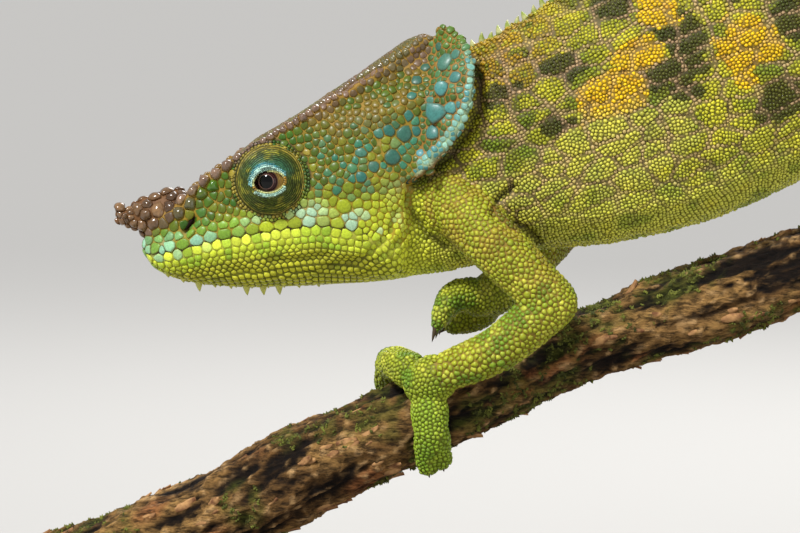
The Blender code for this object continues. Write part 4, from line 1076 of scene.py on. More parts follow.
def scale_arrays(coat, chosen, shape):
    """The corners of domed scales whose outlines meet their neighbours' half way."""
    corners, levels, height, limit, seam = shape
    places = coat["places"][chosen]
    normals = coat["normals"][chosen]
    size = coat["size"][chosen]
    near = coat["near"][chosen]
    count = len(places)
    helper = np.where(np.abs(normals[:, 2:3]) < 0.8, (0.0, 0.0, 1.0), (1.0, 0.0, 0.0))
    first = np.cross(helper, normals)
    first /= np.linalg.norm(first, axis=1)[:, None]
    second = np.cross(normals, first)
    away = coat["places"][near] - places[:, None, :]
    x = np.einsum("ijk,ik->ij", away, first)
    y = np.einsum("ijk,ik->ij", away, second)
    distance = np.maximum(np.hypot(x, y), 0.1 * size[:, None])
    half = distance / 2 + (size[:, None] ** 2 - coat["size"][near] ** 2) / (8 * distance)
    half = np.maximum(half, 0.24 * size[:, None])
    behind = np.einsum("ijk,ik->ij", coat["normals"][near], normals) < 0.1
    half = np.where(behind, 1e3, half)
    angles = 2 * math.pi * np.arange(corners) / corners
    facing = (x[:, None, :] * np.cos(angles)[None, :, None]
              + y[:, None, :] * np.sin(angles)[None, :, None]) / distance[:, None, :]
    reach = np.where(facing > 0.15, half[:, None, :] / np.maximum(facing, 0.15), 1e3).min(axis=2)
    reach = np.clip(reach, 0.2 * size[:, None], limit * size[:, None]) - seam
    reach = np.maximum(reach, 0.16 * size[:, None])
    reach = np.minimum(reach, 1.35 * np.median(reach, axis=1)[:, None])
    turned = (first[:, None, :] * np.cos(angles)[None, :, None]
              + second[:, None, :] * np.sin(angles)[None, :, None])
    lengthwise = np.abs(turned[:, :, 0])
    reach = reach * (1.0 - coat["narrow"][chosen][:, None] * (1.0 - lengthwise ** 2))
    ring = turned * reach[:, :, None]
    up = normals[:, None, :]
    width = 2.0 * reach.mean(axis=1)
    tall = (height * width * coat["lift"][chosen])[:, None, None]
    rings = [places[:, None, :] + ring * 1.02 - up * (0.1 + 0.05 * size)[:, None, None]]
    for share, rise in PROFILES[levels]:
        rings.append(places[:, None, :] + ring * share + up * tall * rise)
    points = np.concatenate(rings + [places[:, None, :] + up * tall], axis=1).reshape(-1, 3)
    levels = len(rings)
    per = corners * levels + 1
    faces = []
    for level in range(levels - 1):
        for i in range(corners):
            j = (i + 1) % corners
            a = level * corners
            faces.append((a + i, a + j, a + corners + j, a + corners + i))
    last = (levels - 1) * corners
    for i in range(corners):
        faces.append((last + i, last + (i + 1) % corners, per - 1))
    faces.append(tuple(reversed(range(corners))))
    sizes = np.array([len(f) for f in faces])
    loops = np.array([v for f in faces for v in f])
    all_loops = (loops[None, :] + per * np.arange(count)[:, None]).ravel()
    local = np.concatenate([np.stack([np.cos(angles), np.sin(angles)], axis=1)] * levels
                           + [np.zeros((1, 2))], axis=0)
    seamed = np.concatenate([np.full(corners, s) for s in (0.95, 0.22, 0.0, 0.0)[:levels]]
                            + [np.zeros(1)])
    return points, np.tile(sizes, count), all_loops, local[loops], seamed


def add_coat(name, chosen, coat, material, nodes):
    """One coat piece from the chosen scales of one kind."""
    shape = SHAPES[KINDS[coat["kind"][chosen[0]]]]
    points, sizes, loops, local, seamed = scale_arrays(coat, chosen, shape)
    mesh = mesh_from(name, points, sizes, loops)
    own = coat["colour"][chosen][:, None, :]
    seam = coat["seam"][chosen][:, None, :]
    # Painted light and shade on each scale's dome: its top lighter and its foot darker, and the foot
    # then blends into the seam's colour
    tint = own * (1.12 - 0.3 * seamed[None, :, None])
    paint(mesh, (tint + (seam - tint) * seamed[None, :, None]).reshape(-1, 3))
    uv = mesh.uv_layers.new(name="OFBake")
    patch = coat["uv"][chosen][:, None, :] + local[None, :, :] * 0.0015
    uv.data.foreach_set("uv", np.clip(patch, 0.0, 1.0).astype(np.float32).ravel())
    finish_piece(new_piece(name, mesh), nodes, material)


def build_coat(surface):
    """Every scale's place, size, kind and colour."""
    places, kind, size, fixed = scatter(surface, SEED)
    places = settle(places, size, fixed, surface, 7)
    for _, side in SIDES:
        eye_places, eye_size = ring_scales(surface, side)
        places = np.vstack([places, eye_places])
        size = np.concatenate([size, eye_size])
        kind = np.concatenate([kind, np.full(len(eye_places), TURRET)])
    ring = np.hypot(places[:, 0] - EYE_MIDDLE[0], places[:, 2] - EYE_MIDDLE[2])
    inside = (ring < 1.55) & (np.abs(places[:, 1]) > 6.0)
    crowd = (ring < TURRET_EDGE) & (np.abs(places[:, 1]) > 4.5) & (kind != TURRET)
    nostril = line_distance(places, NOSTRIL) < 0.42
    keep = ~(inside | crowd | (nostril & (np.abs(places[:, 1]) > 1.5)))
    places, kind, size = places[keep], kind[keep], size[keep]
    tree = surface["tree"]
    face = np.array([tree.find_nearest(p)[2] for p in places.tolist()])
    quads = surface["quads"]
    normals = surface["normals"][quads[face]].mean(axis=1)
    normals /= np.linalg.norm(normals, axis=1)[:, None]
    region = surface["region"][quads[face, 0]]
    edge = line_distance(places, FLAP_EDGE)
    inwards = normals[:, 1] * np.sign(places[:, 1]) < 0.1
    outer = ~((kind == FLAP) & inwards & ((edge < 2.0) | (places[:, 2] > 99.5)))
    places, kind, size, face, normals, region = [
        values[outer] for values in (places, kind, size, face, normals, region)]
    rng = np.random.default_rng(SEED + 1)
    colour = surface_colour(places, region)
    behind = (places[:, 0] > -6.0) & (places[:, 2] > 83.0)
    plate = np.isin(kind, (HEAD, FLAP)) & (size > 1.25) & behind
    teal = mix(linear("2E6A60"), linear("4A8886"), smoothstep(2.0, 6.0, places[:, 0]))
    teal = mix(teal, linear("44664A"), 0.6 * smoothstep(95.5, 98.5, places[:, 2]))
    colour = mix(colour, teal, 0.85 * plate)
    vary = np.where(kind == TURRET, 0.8, 0.4)[:, None]
    tone = 1.0 + vary * (rng.random((len(places), 1)) - 0.5)
    coat = {"places": places, "normals": normals, "size": size, "kind": kind,
            "near": neighbours(places, 14), "uv": surface["uv"][face],
            "colour": colour * tone, "seam": bare_colour(places, region),
            "lift": 0.9 + 0.25 * rng.random(len(places))}
    deep = curve_at(MOUTH_LINE, places[:, 0]) - places[:, 2]
    coat["narrow"] = 0.16 * (kind == JAW) * smoothstep(2.6, 3.4, deep)
    line, _ = skin_cells(places)
    bare = line * smoothstep(0.02, 0.25, trunk_height(places))
    coat["lift"] = np.where(region == TRUNK, coat["lift"] * (1.0 - 0.55 * bare), coat["lift"])
    return coat


def build_coat_pieces(coat, keratin, knob):
    """Splits the coat into pieces by kind and along the body, each under the triangle limit."""
    nodes = dict(GROUPS, lip=["head", "lower_jaw"], crest=["head"])
    for number, name in enumerate(KINDS):
        chosen = np.flatnonzero(coat["kind"] == number)
        corners, levels = SHAPES[name][:2]
        each = corners * (2 * len(PROFILES[levels]) + 1) + corners - 2
        parts = max(1, math.ceil(len(chosen) * each / MOST_TRIANGLES))
        chosen = chosen[np.argsort(coat["places"][chosen, 0], kind="stable")]
        material = knob if name in ("horn", "crest") else keratin
        for k, part in enumerate(np.array_split(chosen, parts)):
            add_coat("scales_%s_%d" % (name, k + 1), part, coat, material,
                     nodes[name])


def horns(name, rows, sides, rings):
    """A mesh of many small curved cones. Each row is a root, a tip, a bend and a radius."""
    points = []
    faces = []
    for root, tip, bend, radius in rows:
        root = np.array(root)
        tip = np.array(tip)
        bend = np.array(bend)
        way = (tip - root) / np.linalg.norm(tip - root)
        helper = np.array((0.0, 1.0, 0.0)) if abs(way[1]) < 0.8 else np.array((1.0, 0.0, 0.0))
        first = np.cross(way, helper)
        first /= np.linalg.norm(first)
        second = np.cross(way, first)
        start = len(points)
        for k in range(rings):
            t = k / rings
            middle = root + (tip - root) * t + bend * 4.0 * t * (1.0 - t)
            wide = radius * (1.0 - t) ** 0.75
            for i in range(sides):
                a = 2 * math.pi * i / sides
                points.append(middle + (first * math.cos(a) + second * math.sin(a)) * wide)
        points.append(tip)
        last = len(points) - 1
        for k in range(rings - 1):
            for i in range(sides):
                j = (i + 1) % sides
                a = start + k * sides
                faces.append((a + i, a + j, a + sides + j, a + sides + i))
        a = start + (rings - 1) * sides
        for i in range(sides):
            faces.append((a + i, a + (i + 1) % sides, last))
        faces.append(tuple(start + i for i in reversed(range(sides))))
    sizes = np.array([len(f) for f in faces])
    loops = np.array([v for f in faces for v in f])
    return mesh_from(name, np.array(points), sizes, loops)


def build_claws():
    """The hooked claws of all the toes."""
    rows = []
    for root, tip in np.array(CLAWS):
        rows.append((root - 0.3 * (tip - root), tip, (0.0, 0.0, 0.15), 0.62))
    claws = horns("claws", rows, 12, 8)
    paint(claws, linear("4A3A26"))
    feet = [n for n in GROUPS["foot"] if "toes" in n]
    # Hard dark claws, polished by the bark, with one narrow light line along each
    horn = tinted_material("dark_claw_keratin", 0.3, 0.4, 0.1, 0.2, 0.4)
    finish_piece(new_piece("claws", claws), feet, horn)


def build_spines(tree, keratin):
    """The row of small spines along the back, shorter towards the hips."""
    rows = []
    rng = np.random.default_rng(SEED + 5)
    for x in np.arange(6.2, 104.0, 1.15):
        hit, normal, _, _ = tree.ray_cast(Vector((x, 0.0, 160.0)), Vector((0.0, 0.0, -1.0)))
        if not hit:
            continue
        long = (1.5 - 0.9 * smoothstep(20.0, 70.0, x)) * (0.7 + 0.5 * rng.random())
        root = np.array(hit) - np.array(normal) * 0.4
        tip = np.array(hit) + np.array(normal) * long + (0.35 * long, 0.0, 0.0)
        rows.append((root, tip, (-0.12, 0.0, 0.0), 0.42 + 0.12 * long))
    spines = horns("back_spines", rows, 10, 6)
    height = np.array([v.co.z for v in spines.vertices])
    paint(spines, mix(linear("8A9A3A"), linear("B8B87C"), 0.5 + 0.5 * np.sin(height * 4000.0)))
    finish_piece(new_piece("back_spines", spines), ["neck", "torso"], keratin)


def build_chin_cones(tree, keratin):
    """The soft cones under the chin, a few of them longer than the rest."""
    rows = []
    for x in (-30.4, -28.4, -26.3, -24.2, -22.1, -20.0, -17.8, -15.7, -13.4, -10.8):
        for side in (-0.9, 0.9) if x < -14.0 else (0.0,):
            shift = x + 0.3 * side
            hit = tree.ray_cast(Vector((shift, side, 0.0)), Vector((0.0, 0.0, 1.0)))[0]
            if hit and 66.0 < hit.z < 76.0:
                long = 1.25 if x in (-26.3, -20.0, -17.8, -15.7) and side <= 0.0 else 0.5
                root = np.array(hit) + np.array((0.0, 0.0, 0.3))
                rows.append((root, np.array(hit) + np.array((0.1, 0.0, -long)), (-0.05, 0.0, 0.0),
                             0.4 + 0.2 * long))
    chin = horns("chin_cones", rows, 10, 6)
    paint(chin, linear("CCCC66"))
    finish_piece(new_piece("chin_cones", chin), ["lower_jaw"], keratin)


def outer_place(trees, side, x, z, rise):
    """The outermost place straight in from one side, raised a little."""
    hits = [side_hit(tree, x, z, side) for tree in trees]
    return (x, side * (max([side * hit.y for hit in hits if hit] or [0.0]) + rise), z)


def strip_faces(rows, columns, start, closed):
    """Quads of a grid of points, closed round or open."""
    faces = []
    for i in range(rows if closed else rows - 1):
        for j in range(columns - 1):
            a = start + i * columns + j
            b = start + ((i + 1) % rows) * columns + j
            faces.append((a, b, b + 1, a + 1))
    return faces


def eyeball_middle(tag):
    """The middle of the solid eyeball on one side."""
    low, high = [np.array(c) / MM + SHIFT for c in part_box("eyeball_" + tag)]
    return (low + high) / 2


def lid_sheet(tree, ball, side):
    """The wrinkled lid from the round rim of the eyeball out over the turret."""
    points = []
    columns = 26
    rows = 144
    dx = PUPIL_MIDDLE[0] - EYE_MIDDLE[0]
    dz = PUPIL_MIDDLE[1] - EYE_MIDDLE[2]
    for i in range(rows):
        a = 2 * math.pi * i / rows
        along = dx * math.cos(a) + dz * math.sin(a)
        across = dx * math.sin(a) - dz * math.cos(a)
        radii = np.linspace(along + math.sqrt(1.32 ** 2 - across ** 2), 2.9, columns)
        x = EYE_MIDDLE[0] + radii * math.cos(a)
        z = EYE_MIDDLE[2] + radii * math.sin(a)
        skin = np.array([outer_place([tree], side, x[j], z[j], 0.0)[1] * side for j in range(columns)])
        deep = EYEBALL_RADIUS ** 2 - (x - ball[0]) ** 2 - (z - ball[2]) ** 2
        eyeball = np.where(deep > 0.0, side * ball[1] + np.sqrt(np.maximum(deep, 0.0)), 0.0)
        chord = np.linspace(max(eyeball[0], 0.0), skin[-1], columns)
        out = np.maximum(np.maximum(skin, eyeball), chord)
        wrinkle = 0.03 * np.cos(radii * 30.0 + 0.7 * math.sin(a))
        rise = 0.08 + wrinkle
        rise[0] = -0.2
        rise[-1] = -0.2
        points.extend(np.stack([x, side * (out + rise), z], axis=1).tolist())
    return points, strip_faces(rows, columns, 0, True)


def turret_ridges(trees, side):
    """The fine grainy ridges that ring the whole turret, with each point's brightness: a random grain
    tone, painted shade in the grooves and a painted highlight on each crest.
    """
    # Across each ridge: offset, rise and brightness; the brightness is painted shade in the grooves and
    # a painted highlight along the crest
    profile = ((-0.115, -1.0, 0.08), (-0.07, 0.5, 0.6), (0.0, 1.0, 1.15), (0.07, 0.5, 0.6),
               (0.115, -1.0, 0.08))
    points = []
    faces = []
    grain_and_painted_shade = []
    rng = np.random.default_rng(SEED + 21)
    rows = 230
    radius = 1.75
    while radius < 4.75:
        angles = 2 * math.pi * np.arange(rows) / rows
        x = TURRET_MIDDLE[0] + radius * np.cos(angles)
        z = TURRET_MIDDLE[1] + radius * np.sin(angles)
        wobble = value_noise(np.stack([x, np.zeros(rows), z], axis=1), 1.3, 81)
        gap, angle, _ = eye_ring(np.stack([x, np.zeros(rows), z], axis=1))
        free = smoothstep(0.0, 0.15, gap - np.maximum(np.maximum(*lid_bands(angle)), 0.1))
        short = value_noise(np.stack([x, np.full(rows, radius * 40.0), z], axis=1), 0.42, 82)
        grain = 0.5 * np.repeat(rng.random(rows // 2), 2) + 0.5 * smoothstep(-0.5, 0.5, short)
        tall = 0.14 * (0.6 + 0.5 * grain) * (0.8 + 0.3 * wobble)
        start = len(points)
        for i in range(rows):
            for offset, share, bright in profile:
                r = radius + offset + 0.13 * wobble[i] + 0.03 * short[i]
                rise = (tall[i] * share if share > 0.0 else -0.08) * free[i] - 0.25 * (1.0 - free[i])
                points.append(outer_place(trees, side, TURRET_MIDDLE[0] + r * math.cos(angles[i]),
                                          TURRET_MIDDLE[1] + r * math.sin(angles[i]), rise))
                grain_and_painted_shade.append((0.45 + 1.1 * grain[i]) * bright)
        faces.extend(strip_faces(rows, len(profile), start, True))
        radius += 0.25
    return points, faces, grain_and_painted_shade


def lid_granules(trees, side):
    """Places and normals of the pale granules on both lids."""
    found = []
    for row in range(7):
        gap = 0.1 + 0.22 * row
        count = int(2 * math.pi * (1.7 + gap) / 0.25)
        for k in range(count):
            a = 2 * math.pi * (k + 0.5 * (row % 2)) / count
            turn = a - math.radians(EYE_TILT)
            edge = 1.0 / math.hypot(math.cos(turn) / EYE_OPENING[0], math.sin(turn) / EYE_OPENING[1])
            wide = max(float(band) for band in lid_bands(np.array(math.degrees(a) % 360.0)))
            if gap > max(wide, 0.3):
                continue
            x = EYE_MIDDLE[0] + (edge + gap) * math.cos(a)
            z = EYE_MIDDLE[2] + (edge + gap) * math.sin(a)
            place = np.array(outer_place(trees, side, x, z, 0.03))
            right = np.array(outer_place(trees, side, x + 0.15, z, 0.03)) - place
            up = np.array(outer_place(trees, side, x, z + 0.15, 0.03)) - place
            normal = np.cross(right, up) * -side
            found.append((place, normal / np.linalg.norm(normal)))
    return np.array([f[0] for f in found]), np.array([f[1] for f in found])


def build_lids(surface, keratin):
    """The lids, the ridges round each turret and the pale granules."""
    tree = surface["tree"]
    for tag, side in SIDES:
        nodes = ["eye_turret_" + tag]
        sheet, sheet_faces = lid_sheet(tree, eyeball_middle(tag), side)
        trees = [tree, BVHTree.FromPolygons(sheet, sheet_faces)]
        for name, (points, faces, grain_and_painted_shade) in (("lid", (sheet, sheet_faces, [1.0])),
                                              ("turret_ridges", turret_ridges(trees, side))):
            points = np.array(points)
            faces = faces if side > 0 else [tuple(reversed(f)) for f in faces]
            mesh = mesh_from(name, points, np.full(len(faces), 4), np.array(faces).ravel())
            tint = surface_colour(points, np.full(len(points), TURRET))
            paint(mesh, tint * np.array(grain_and_painted_shade)[:, None])
            add_bake_map(mesh, points, surface)
            finish_piece(new_piece("%s_%s" % (name, tag), mesh), nodes, keratin)
        places, normals = lid_granules(trees, side)
        region = np.full(len(places), TURRET)
        face = np.array([tree.find_nearest(p)[2] for p in places.tolist()])
        rng = np.random.default_rng(SEED + 22)
        count = len(places)
        coat = {"places": places, "normals": normals, "size": np.full(count, 0.25),
                "kind": region, "near": neighbours(places, 12), "uv": surface["uv"][face],
                "colour": surface_colour(places, region) * (0.75 + 0.5 * rng.random((count, 1))),
                "seam": np.tile(linear("2E4A40"), (count, 1)), "lift": 0.8 + 0.5 * rng.random(count),
                "narrow": np.zeros(count)}
        add_coat("lid_granules_" + tag, np.arange(count), coat, keratin, nodes)


def build_nostrils(tree):
    """The dark nostril slits: near-black pills laid in each nostril as painted shade for its hollow."""
    low, high = np.array(NOSTRIL)
    x, z = (low + high) / 2
    along = Vector((high[0] - low[0], 0.0, high[1] - low[1])).normalized()
    slits = bmesh.new()
    for _, side in SIDES:
        hit, normal, _, _ = tree.ray_cast(Vector((x, side * 40.0, z)), Vector((0.0, -side, 0.0)))
        axes = Matrix((along, normal, along.cross(normal))).transposed().to_4x4()
        stretch = Matrix.Diagonal((0.95, 0.26, 0.3, 1.0))
        shape = Matrix.Translation(hit + normal * 0.1) @ axes @ stretch
        bmesh.ops.create_uvsphere(slits, u_segments=24, v_segments=14, radius=1.0, matrix=shape)
    for point in slits.verts:
        point.co = Vector(((np.array(point.co) - SHIFT) * MM).tolist())
    mesh = bpy.data.meshes.new("nostril_slits")
    slits.to_mesh(mesh)
    slits.free()
    # The moist hollow of a nostril, filled with a near-black pill as painted shade, so that the slit
    # reads as a hole
    dark, _, shader = new_material("nostril_painted_shade")
    shader.inputs["Base Color"].default_value = (*linear("1C0E08"), 1.0)
    shader.inputs["Roughness"].default_value = 0.8
    shader.inputs["Specular IOR Level"].default_value = 0.15
    finish_piece(new_piece("nostril_slits", mesh), ["head"], dark)


def add_bake_map(mesh, points, surface):
    """Gives a piece that lies on the skin the skin's own unwrap, at the nearest place."""
    tree = surface["tree"]
    face = np.array([tree.find_nearest(p)[2] for p in points.tolist()])
    place = surface["uv"][face]
    corner = np.empty(len(mesh.loops), dtype=np.int32)
    mesh.loops.foreach_get("vertex_index", corner)
    starts = np.empty(len(mesh.polygons), dtype=np.int32)
    mesh.polygons.foreach_get("loop_start", starts)
    first = np.repeat(corner[starts], 4)
    spread = np.tile(np.array(((0.0, 0.0), (1.0, 0.0), (1.0, 1.0), (0.0, 1.0))), (len(starts), 1))
    uv = mesh.uv_layers.new(name="OFBake")
    patch = np.clip(place[first] + 0.001 * spread, 0.0, 1.0)
    uv.data.foreach_set("uv", patch.astype(np.float32).ravel())


def iris_material():
    """The brown iris and black pupil, ringed round the pupil's middle."""
    # A wet cornea, which mirrors the key light as one small sharp spot over a dark brown iris
    made, tree, shader = new_material("eye_brown_iris")
    place = node(tree, "ShaderNodeTexCoord")
    centred = node(tree, "ShaderNodeMapping", {"Vector": place.outputs["Object"]})
    centred.inputs["Location"].default_value = ((SHIFT[0] - PUPIL_MIDDLE[0]) * MM, 0.0,
                                                -PUPIL_MIDDLE[1] * MM)
    split = node(tree, "ShaderNodeSeparateXYZ", {"Vector": centred.outputs["Vector"]})
    flat = node(tree, "ShaderNodeCombineXYZ", {"X": split.outputs["X"], "Z": split.outputs["Z"]})
    far = node(tree, "ShaderNodeVectorMath", {0: flat.outputs["Vector"]}, operation="LENGTH")
    tone = node(tree, "ShaderNodeValToRGB")
    scaled = node(tree, "ShaderNodeMath", {0: far.outputs["Value"], 1: 1.0 / (EYEBALL_RADIUS * MM)},
                  operation="MULTIPLY")
    tree.links.new(scaled.outputs["Value"], tone.inputs["Fac"])
    ramp = tone.color_ramp
    ramp.elements[0].position = 0.5
    ramp.elements[0].color = (*linear("070707"), 1.0)
    ramp.elements[1].position = 0.53
    ramp.elements[1].color = (*linear("8A6458"), 1.0)
    for position, shade in ((0.57, "1C0C0A"), (0.68, "3A1612"), (0.8, "140808")):
        ramp.elements.new(position).color = (*linear(shade), 1.0)
    tree.links.new(tone.outputs["Color"], shader.inputs["Base Color"])
    shader.inputs["Roughness"].default_value = 0.08
    shader.inputs["Specular IOR Level"].default_value = 0.3
    return made


def build_eyeballs():
    """The wet eyeball in each turret."""
    iris = iris_material()
    for tag, _ in SIDES:
        work = bmesh.new()
        bmesh.ops.create_uvsphere(work, u_segments=40, v_segments=24, radius=EYEBALL_RADIUS)
        mesh = bpy.data.meshes.new("eyeball")
        middle = eyeball_middle(tag)
        for point in work.verts:
            point.co = Vector(((np.array(point.co) + middle - SHIFT) * MM).tolist())
        work.to_mesh(mesh)
        work.free()
        finish_piece(new_piece("eye_" + tag, mesh), ["eyeball_" + tag], iris)


def flake_mesh(long, wide, thick, curl):
    """A thin flake, its far end curling up, as a closed mesh."""
    across = 5
    along = 6
    top = []
    for i in range(along + 1):
        for j in range(across + 1):
            u = i / along
            v = 2.0 * j / across - 1.0
            edge = math.sin(math.pi * (0.08 + 0.84 * u)) ** 0.6
            rise = curl * u * u - 0.2 * wide * v * v
            top.append((long * (u - 0.4), wide * 0.5 * v * edge, rise))
    low = [(x, y, z - thick) for x, y, z in top]
    count = len(top)
    faces = []
    for i in range(along):
        for j in range(across):
            a = i * (across + 1) + j
            b = a + across + 1
            faces.append((a, b, b + 1, a + 1))
            faces.append((count + a + 1, count + b + 1, count + b, count + a))
    rim = (list(range(across)) + [i * (across + 1) + across for i in range(along)]
           + [along * (across + 1) + j for j in range(across, 0, -1)]
           + [i * (across + 1) for i in range(along, 0, -1)])
    for a, b in zip(rim, rim[1:] + rim[:1]):
        faces.append((a, b, count + b, count + a))
    mesh = bpy.data.meshes.new("flake")
    mesh.from_pydata([(x * MM, y * MM, z * MM) for x, y, z in top + low], [], faces)
    mesh.update()
    return mesh


def spread_tree():
    """The node tree that spreads copies of one piece over a surface, where its cover says."""
    tree = bpy.data.node_groups.new("spread_over_surface", "GeometryNodeTree")
    face = tree.interface
    face.new_socket("Geometry", in_out="OUTPUT", socket_type="NodeSocketGeometry")
    face.new_socket("Geometry", in_out="INPUT", socket_type="NodeSocketGeometry")
    for name, kind in (("Piece", "Object"), ("Density", "Float"), ("Seed", "Int"),
                       ("Smallest", "Float"), ("Largest", "Float"), ("Lean", "Vector"),
                       ("Spin", "Vector"), ("Material", "Material")):
        face.new_socket(name, in_out="INPUT", socket_type="NodeSocket" + kind)
    start = node(tree, "NodeGroupInput").outputs
    end = node(tree, "NodeGroupOutput")
    cover = node(tree, "GeometryNodeInputNamedAttribute", {"Name": "cover"}, data_type="FLOAT")
    thick = node(tree, "ShaderNodeMath", {0: cover.outputs["Attribute"], 1: start["Density"]},
                 operation="MULTIPLY")
    points = node(tree, "GeometryNodeDistributePointsOnFaces",
                  {"Mesh": start["Geometry"], "Density": thick.outputs["Value"], "Seed": start["Seed"]})
    back = node(tree, "ShaderNodeVectorMath", {0: start["Spin"], "Scale": -1.0}, operation="SCALE")
    turn = node(tree, "FunctionNodeRandomValue", {"Min": back.outputs["Vector"], "Max": start["Spin"],
                                                  "Seed": start["Seed"]}, data_type="FLOAT_VECTOR")
    aimed = node(tree, "FunctionNodeAlignRotationToVector",
                 {"Rotation": points.outputs["Rotation"], "Vector": start["Lean"]},
                 axis="X", pivot_axis="Z")
    spun = node(tree, "FunctionNodeRotateRotation",
                {"Rotation": aimed.outputs["Rotation"], "Rotate By": turn.outputs["Value"]},
                rotation_space="LOCAL")
    size = node(tree, "FunctionNodeRandomValue", {"Min": start["Smallest"], "Max": start["Largest"],
                                                  "Seed": start["Seed"]}, data_type="FLOAT")
    piece = node(tree, "GeometryNodeObjectInfo", {"Object": start["Piece"]})
    copies = node(tree, "GeometryNodeInstanceOnPoints",
                  {"Points": points.outputs["Points"], "Instance": piece.outputs["Geometry"],
                   "Rotation": spun.outputs["Rotation"], "Scale": size.outputs["Value"]})
    real = node(tree, "GeometryNodeRealizeInstances", {"Geometry": copies.outputs["Instances"]})
    done = node(tree, "GeometryNodeSetMaterial", {"Geometry": real.outputs["Geometry"],
                                                  "Material": start["Material"]})
    tree.links.new(done.outputs["Geometry"], end.inputs["Geometry"])
    return tree


def spread(tree, name, ground, piece_mesh, material, values):
    """One mesh of copies of a piece over the ground, made by the spreading tree."""
    piece = new_piece(name + "_one", piece_mesh)
    work = new_piece(name + "_work", ground)
    step = work.modifiers.new("spread", "NODES")
    step.node_group = tree
    values = dict(values, Piece=piece, Material=material)
    for socket in tree.interface.items_tree:
        if socket.in_out == "INPUT" and socket.name in values:
            step[socket.identifier] = values[socket.name]
    graph = bpy.context.evaluated_depsgraph_get()
    mesh = bpy.data.meshes.new_from_object(work.evaluated_get(graph))
    mesh.name = name
    bpy.data.objects.remove(work)
    bpy.data.objects.remove(piece)
    return new_piece(name, mesh)


def set_cover(mesh, values):
    """Stores how thickly copies may lie at each point of a mesh."""
    if "cover" not in mesh.attributes:
        mesh.attributes.new("cover", "FLOAT", "POINT")
    mesh.attributes["cover"].data.foreach_set("value", np.asarray(values, dtype=np.float32))


def noise_material(name, low, high, size, roughness):
    """A plain rough material whose colour drifts between two tones."""
    made, tree, shader = new_material(name)
    place = node(tree, "ShaderNodeTexCoord")
    drift = node(tree, "ShaderNodeTexNoise", {"Vector": place.outputs["Object"],
                                              "Scale": 1.0 / (size * MM), "Detail": 4.0})
    tone = node(tree, "ShaderNodeValToRGB", {"Fac": drift.outputs["Fac"]})
    tone.color_ramp.elements[0].position = 0.36
    tone.color_ramp.elements[0].color = (*linear(low), 1.0)
    tone.color_ramp.elements[1].position = 0.64
    tone.color_ramp.elements[1].color = (*linear(high), 1.0)
    tree.links.new(tone.outputs["Color"], shader.inputs["Base Color"])
    shader.inputs["Roughness"].default_value = roughness
    return made


def bark_material():
    """Rough bark that takes its colour from the tint attribute, with cracks along the branch, painted
    darker in the grain's cracks as painted shade and lighter on its ridges as painted light.
    """
    # Dry bark throws back no shine; its colour follows the bump, darker in the cracks as painted shade
    # and lighter on the ridges between as painted light
    made, tree, shader = new_material("rough_cracked_bark")
    tint = node(tree, "ShaderNodeVertexColor", layer_name="tint")
    place = node(tree, "ShaderNodeTexCoord")
    along = node(tree, "ShaderNodeMapping", {"Vector": place.outputs["Object"]})
    along.inputs["Rotation"].default_value = (0.0, math.radians(22.0), 0.0)
    along.inputs["Scale"].default_value = (0.3, 1.0, 1.0)
    grain = node(tree, "ShaderNodeTexNoise", {"Vector": along.outputs["Vector"],
                                              "Scale": 1.0 / (0.6 * MM), "Detail": 7.0,
                                              "Roughness": 0.7})
    shade = node(tree, "ShaderNodeMapRange", {"Value": grain.outputs["Fac"], "From Min": 0.4,
                                              "From Max": 0.6, "To Min": 0.26, "To Max": 1.5})
    colour = node(tree, "ShaderNodeVectorMath", operation="SCALE")
    tree.links.new(tint.outputs["Color"], colour.inputs[0])
    tree.links.new(shade.outputs["Result"], colour.inputs["Scale"])
    rise = node(tree, "ShaderNodeBump", {"Height": grain.outputs["Fac"], "Strength": 1.0,
                                         "Distance": 0.9 * MM})
    tree.links.new(colour.outputs["Vector"], shader.inputs["Base Color"])
    tree.links.new(rise.outputs["Normal"], shader.inputs["Normal"])
    shader.inputs["Roughness"].default_value = 0.9
    shader.inputs["Specular IOR Level"].default_value = 0.25
    return made


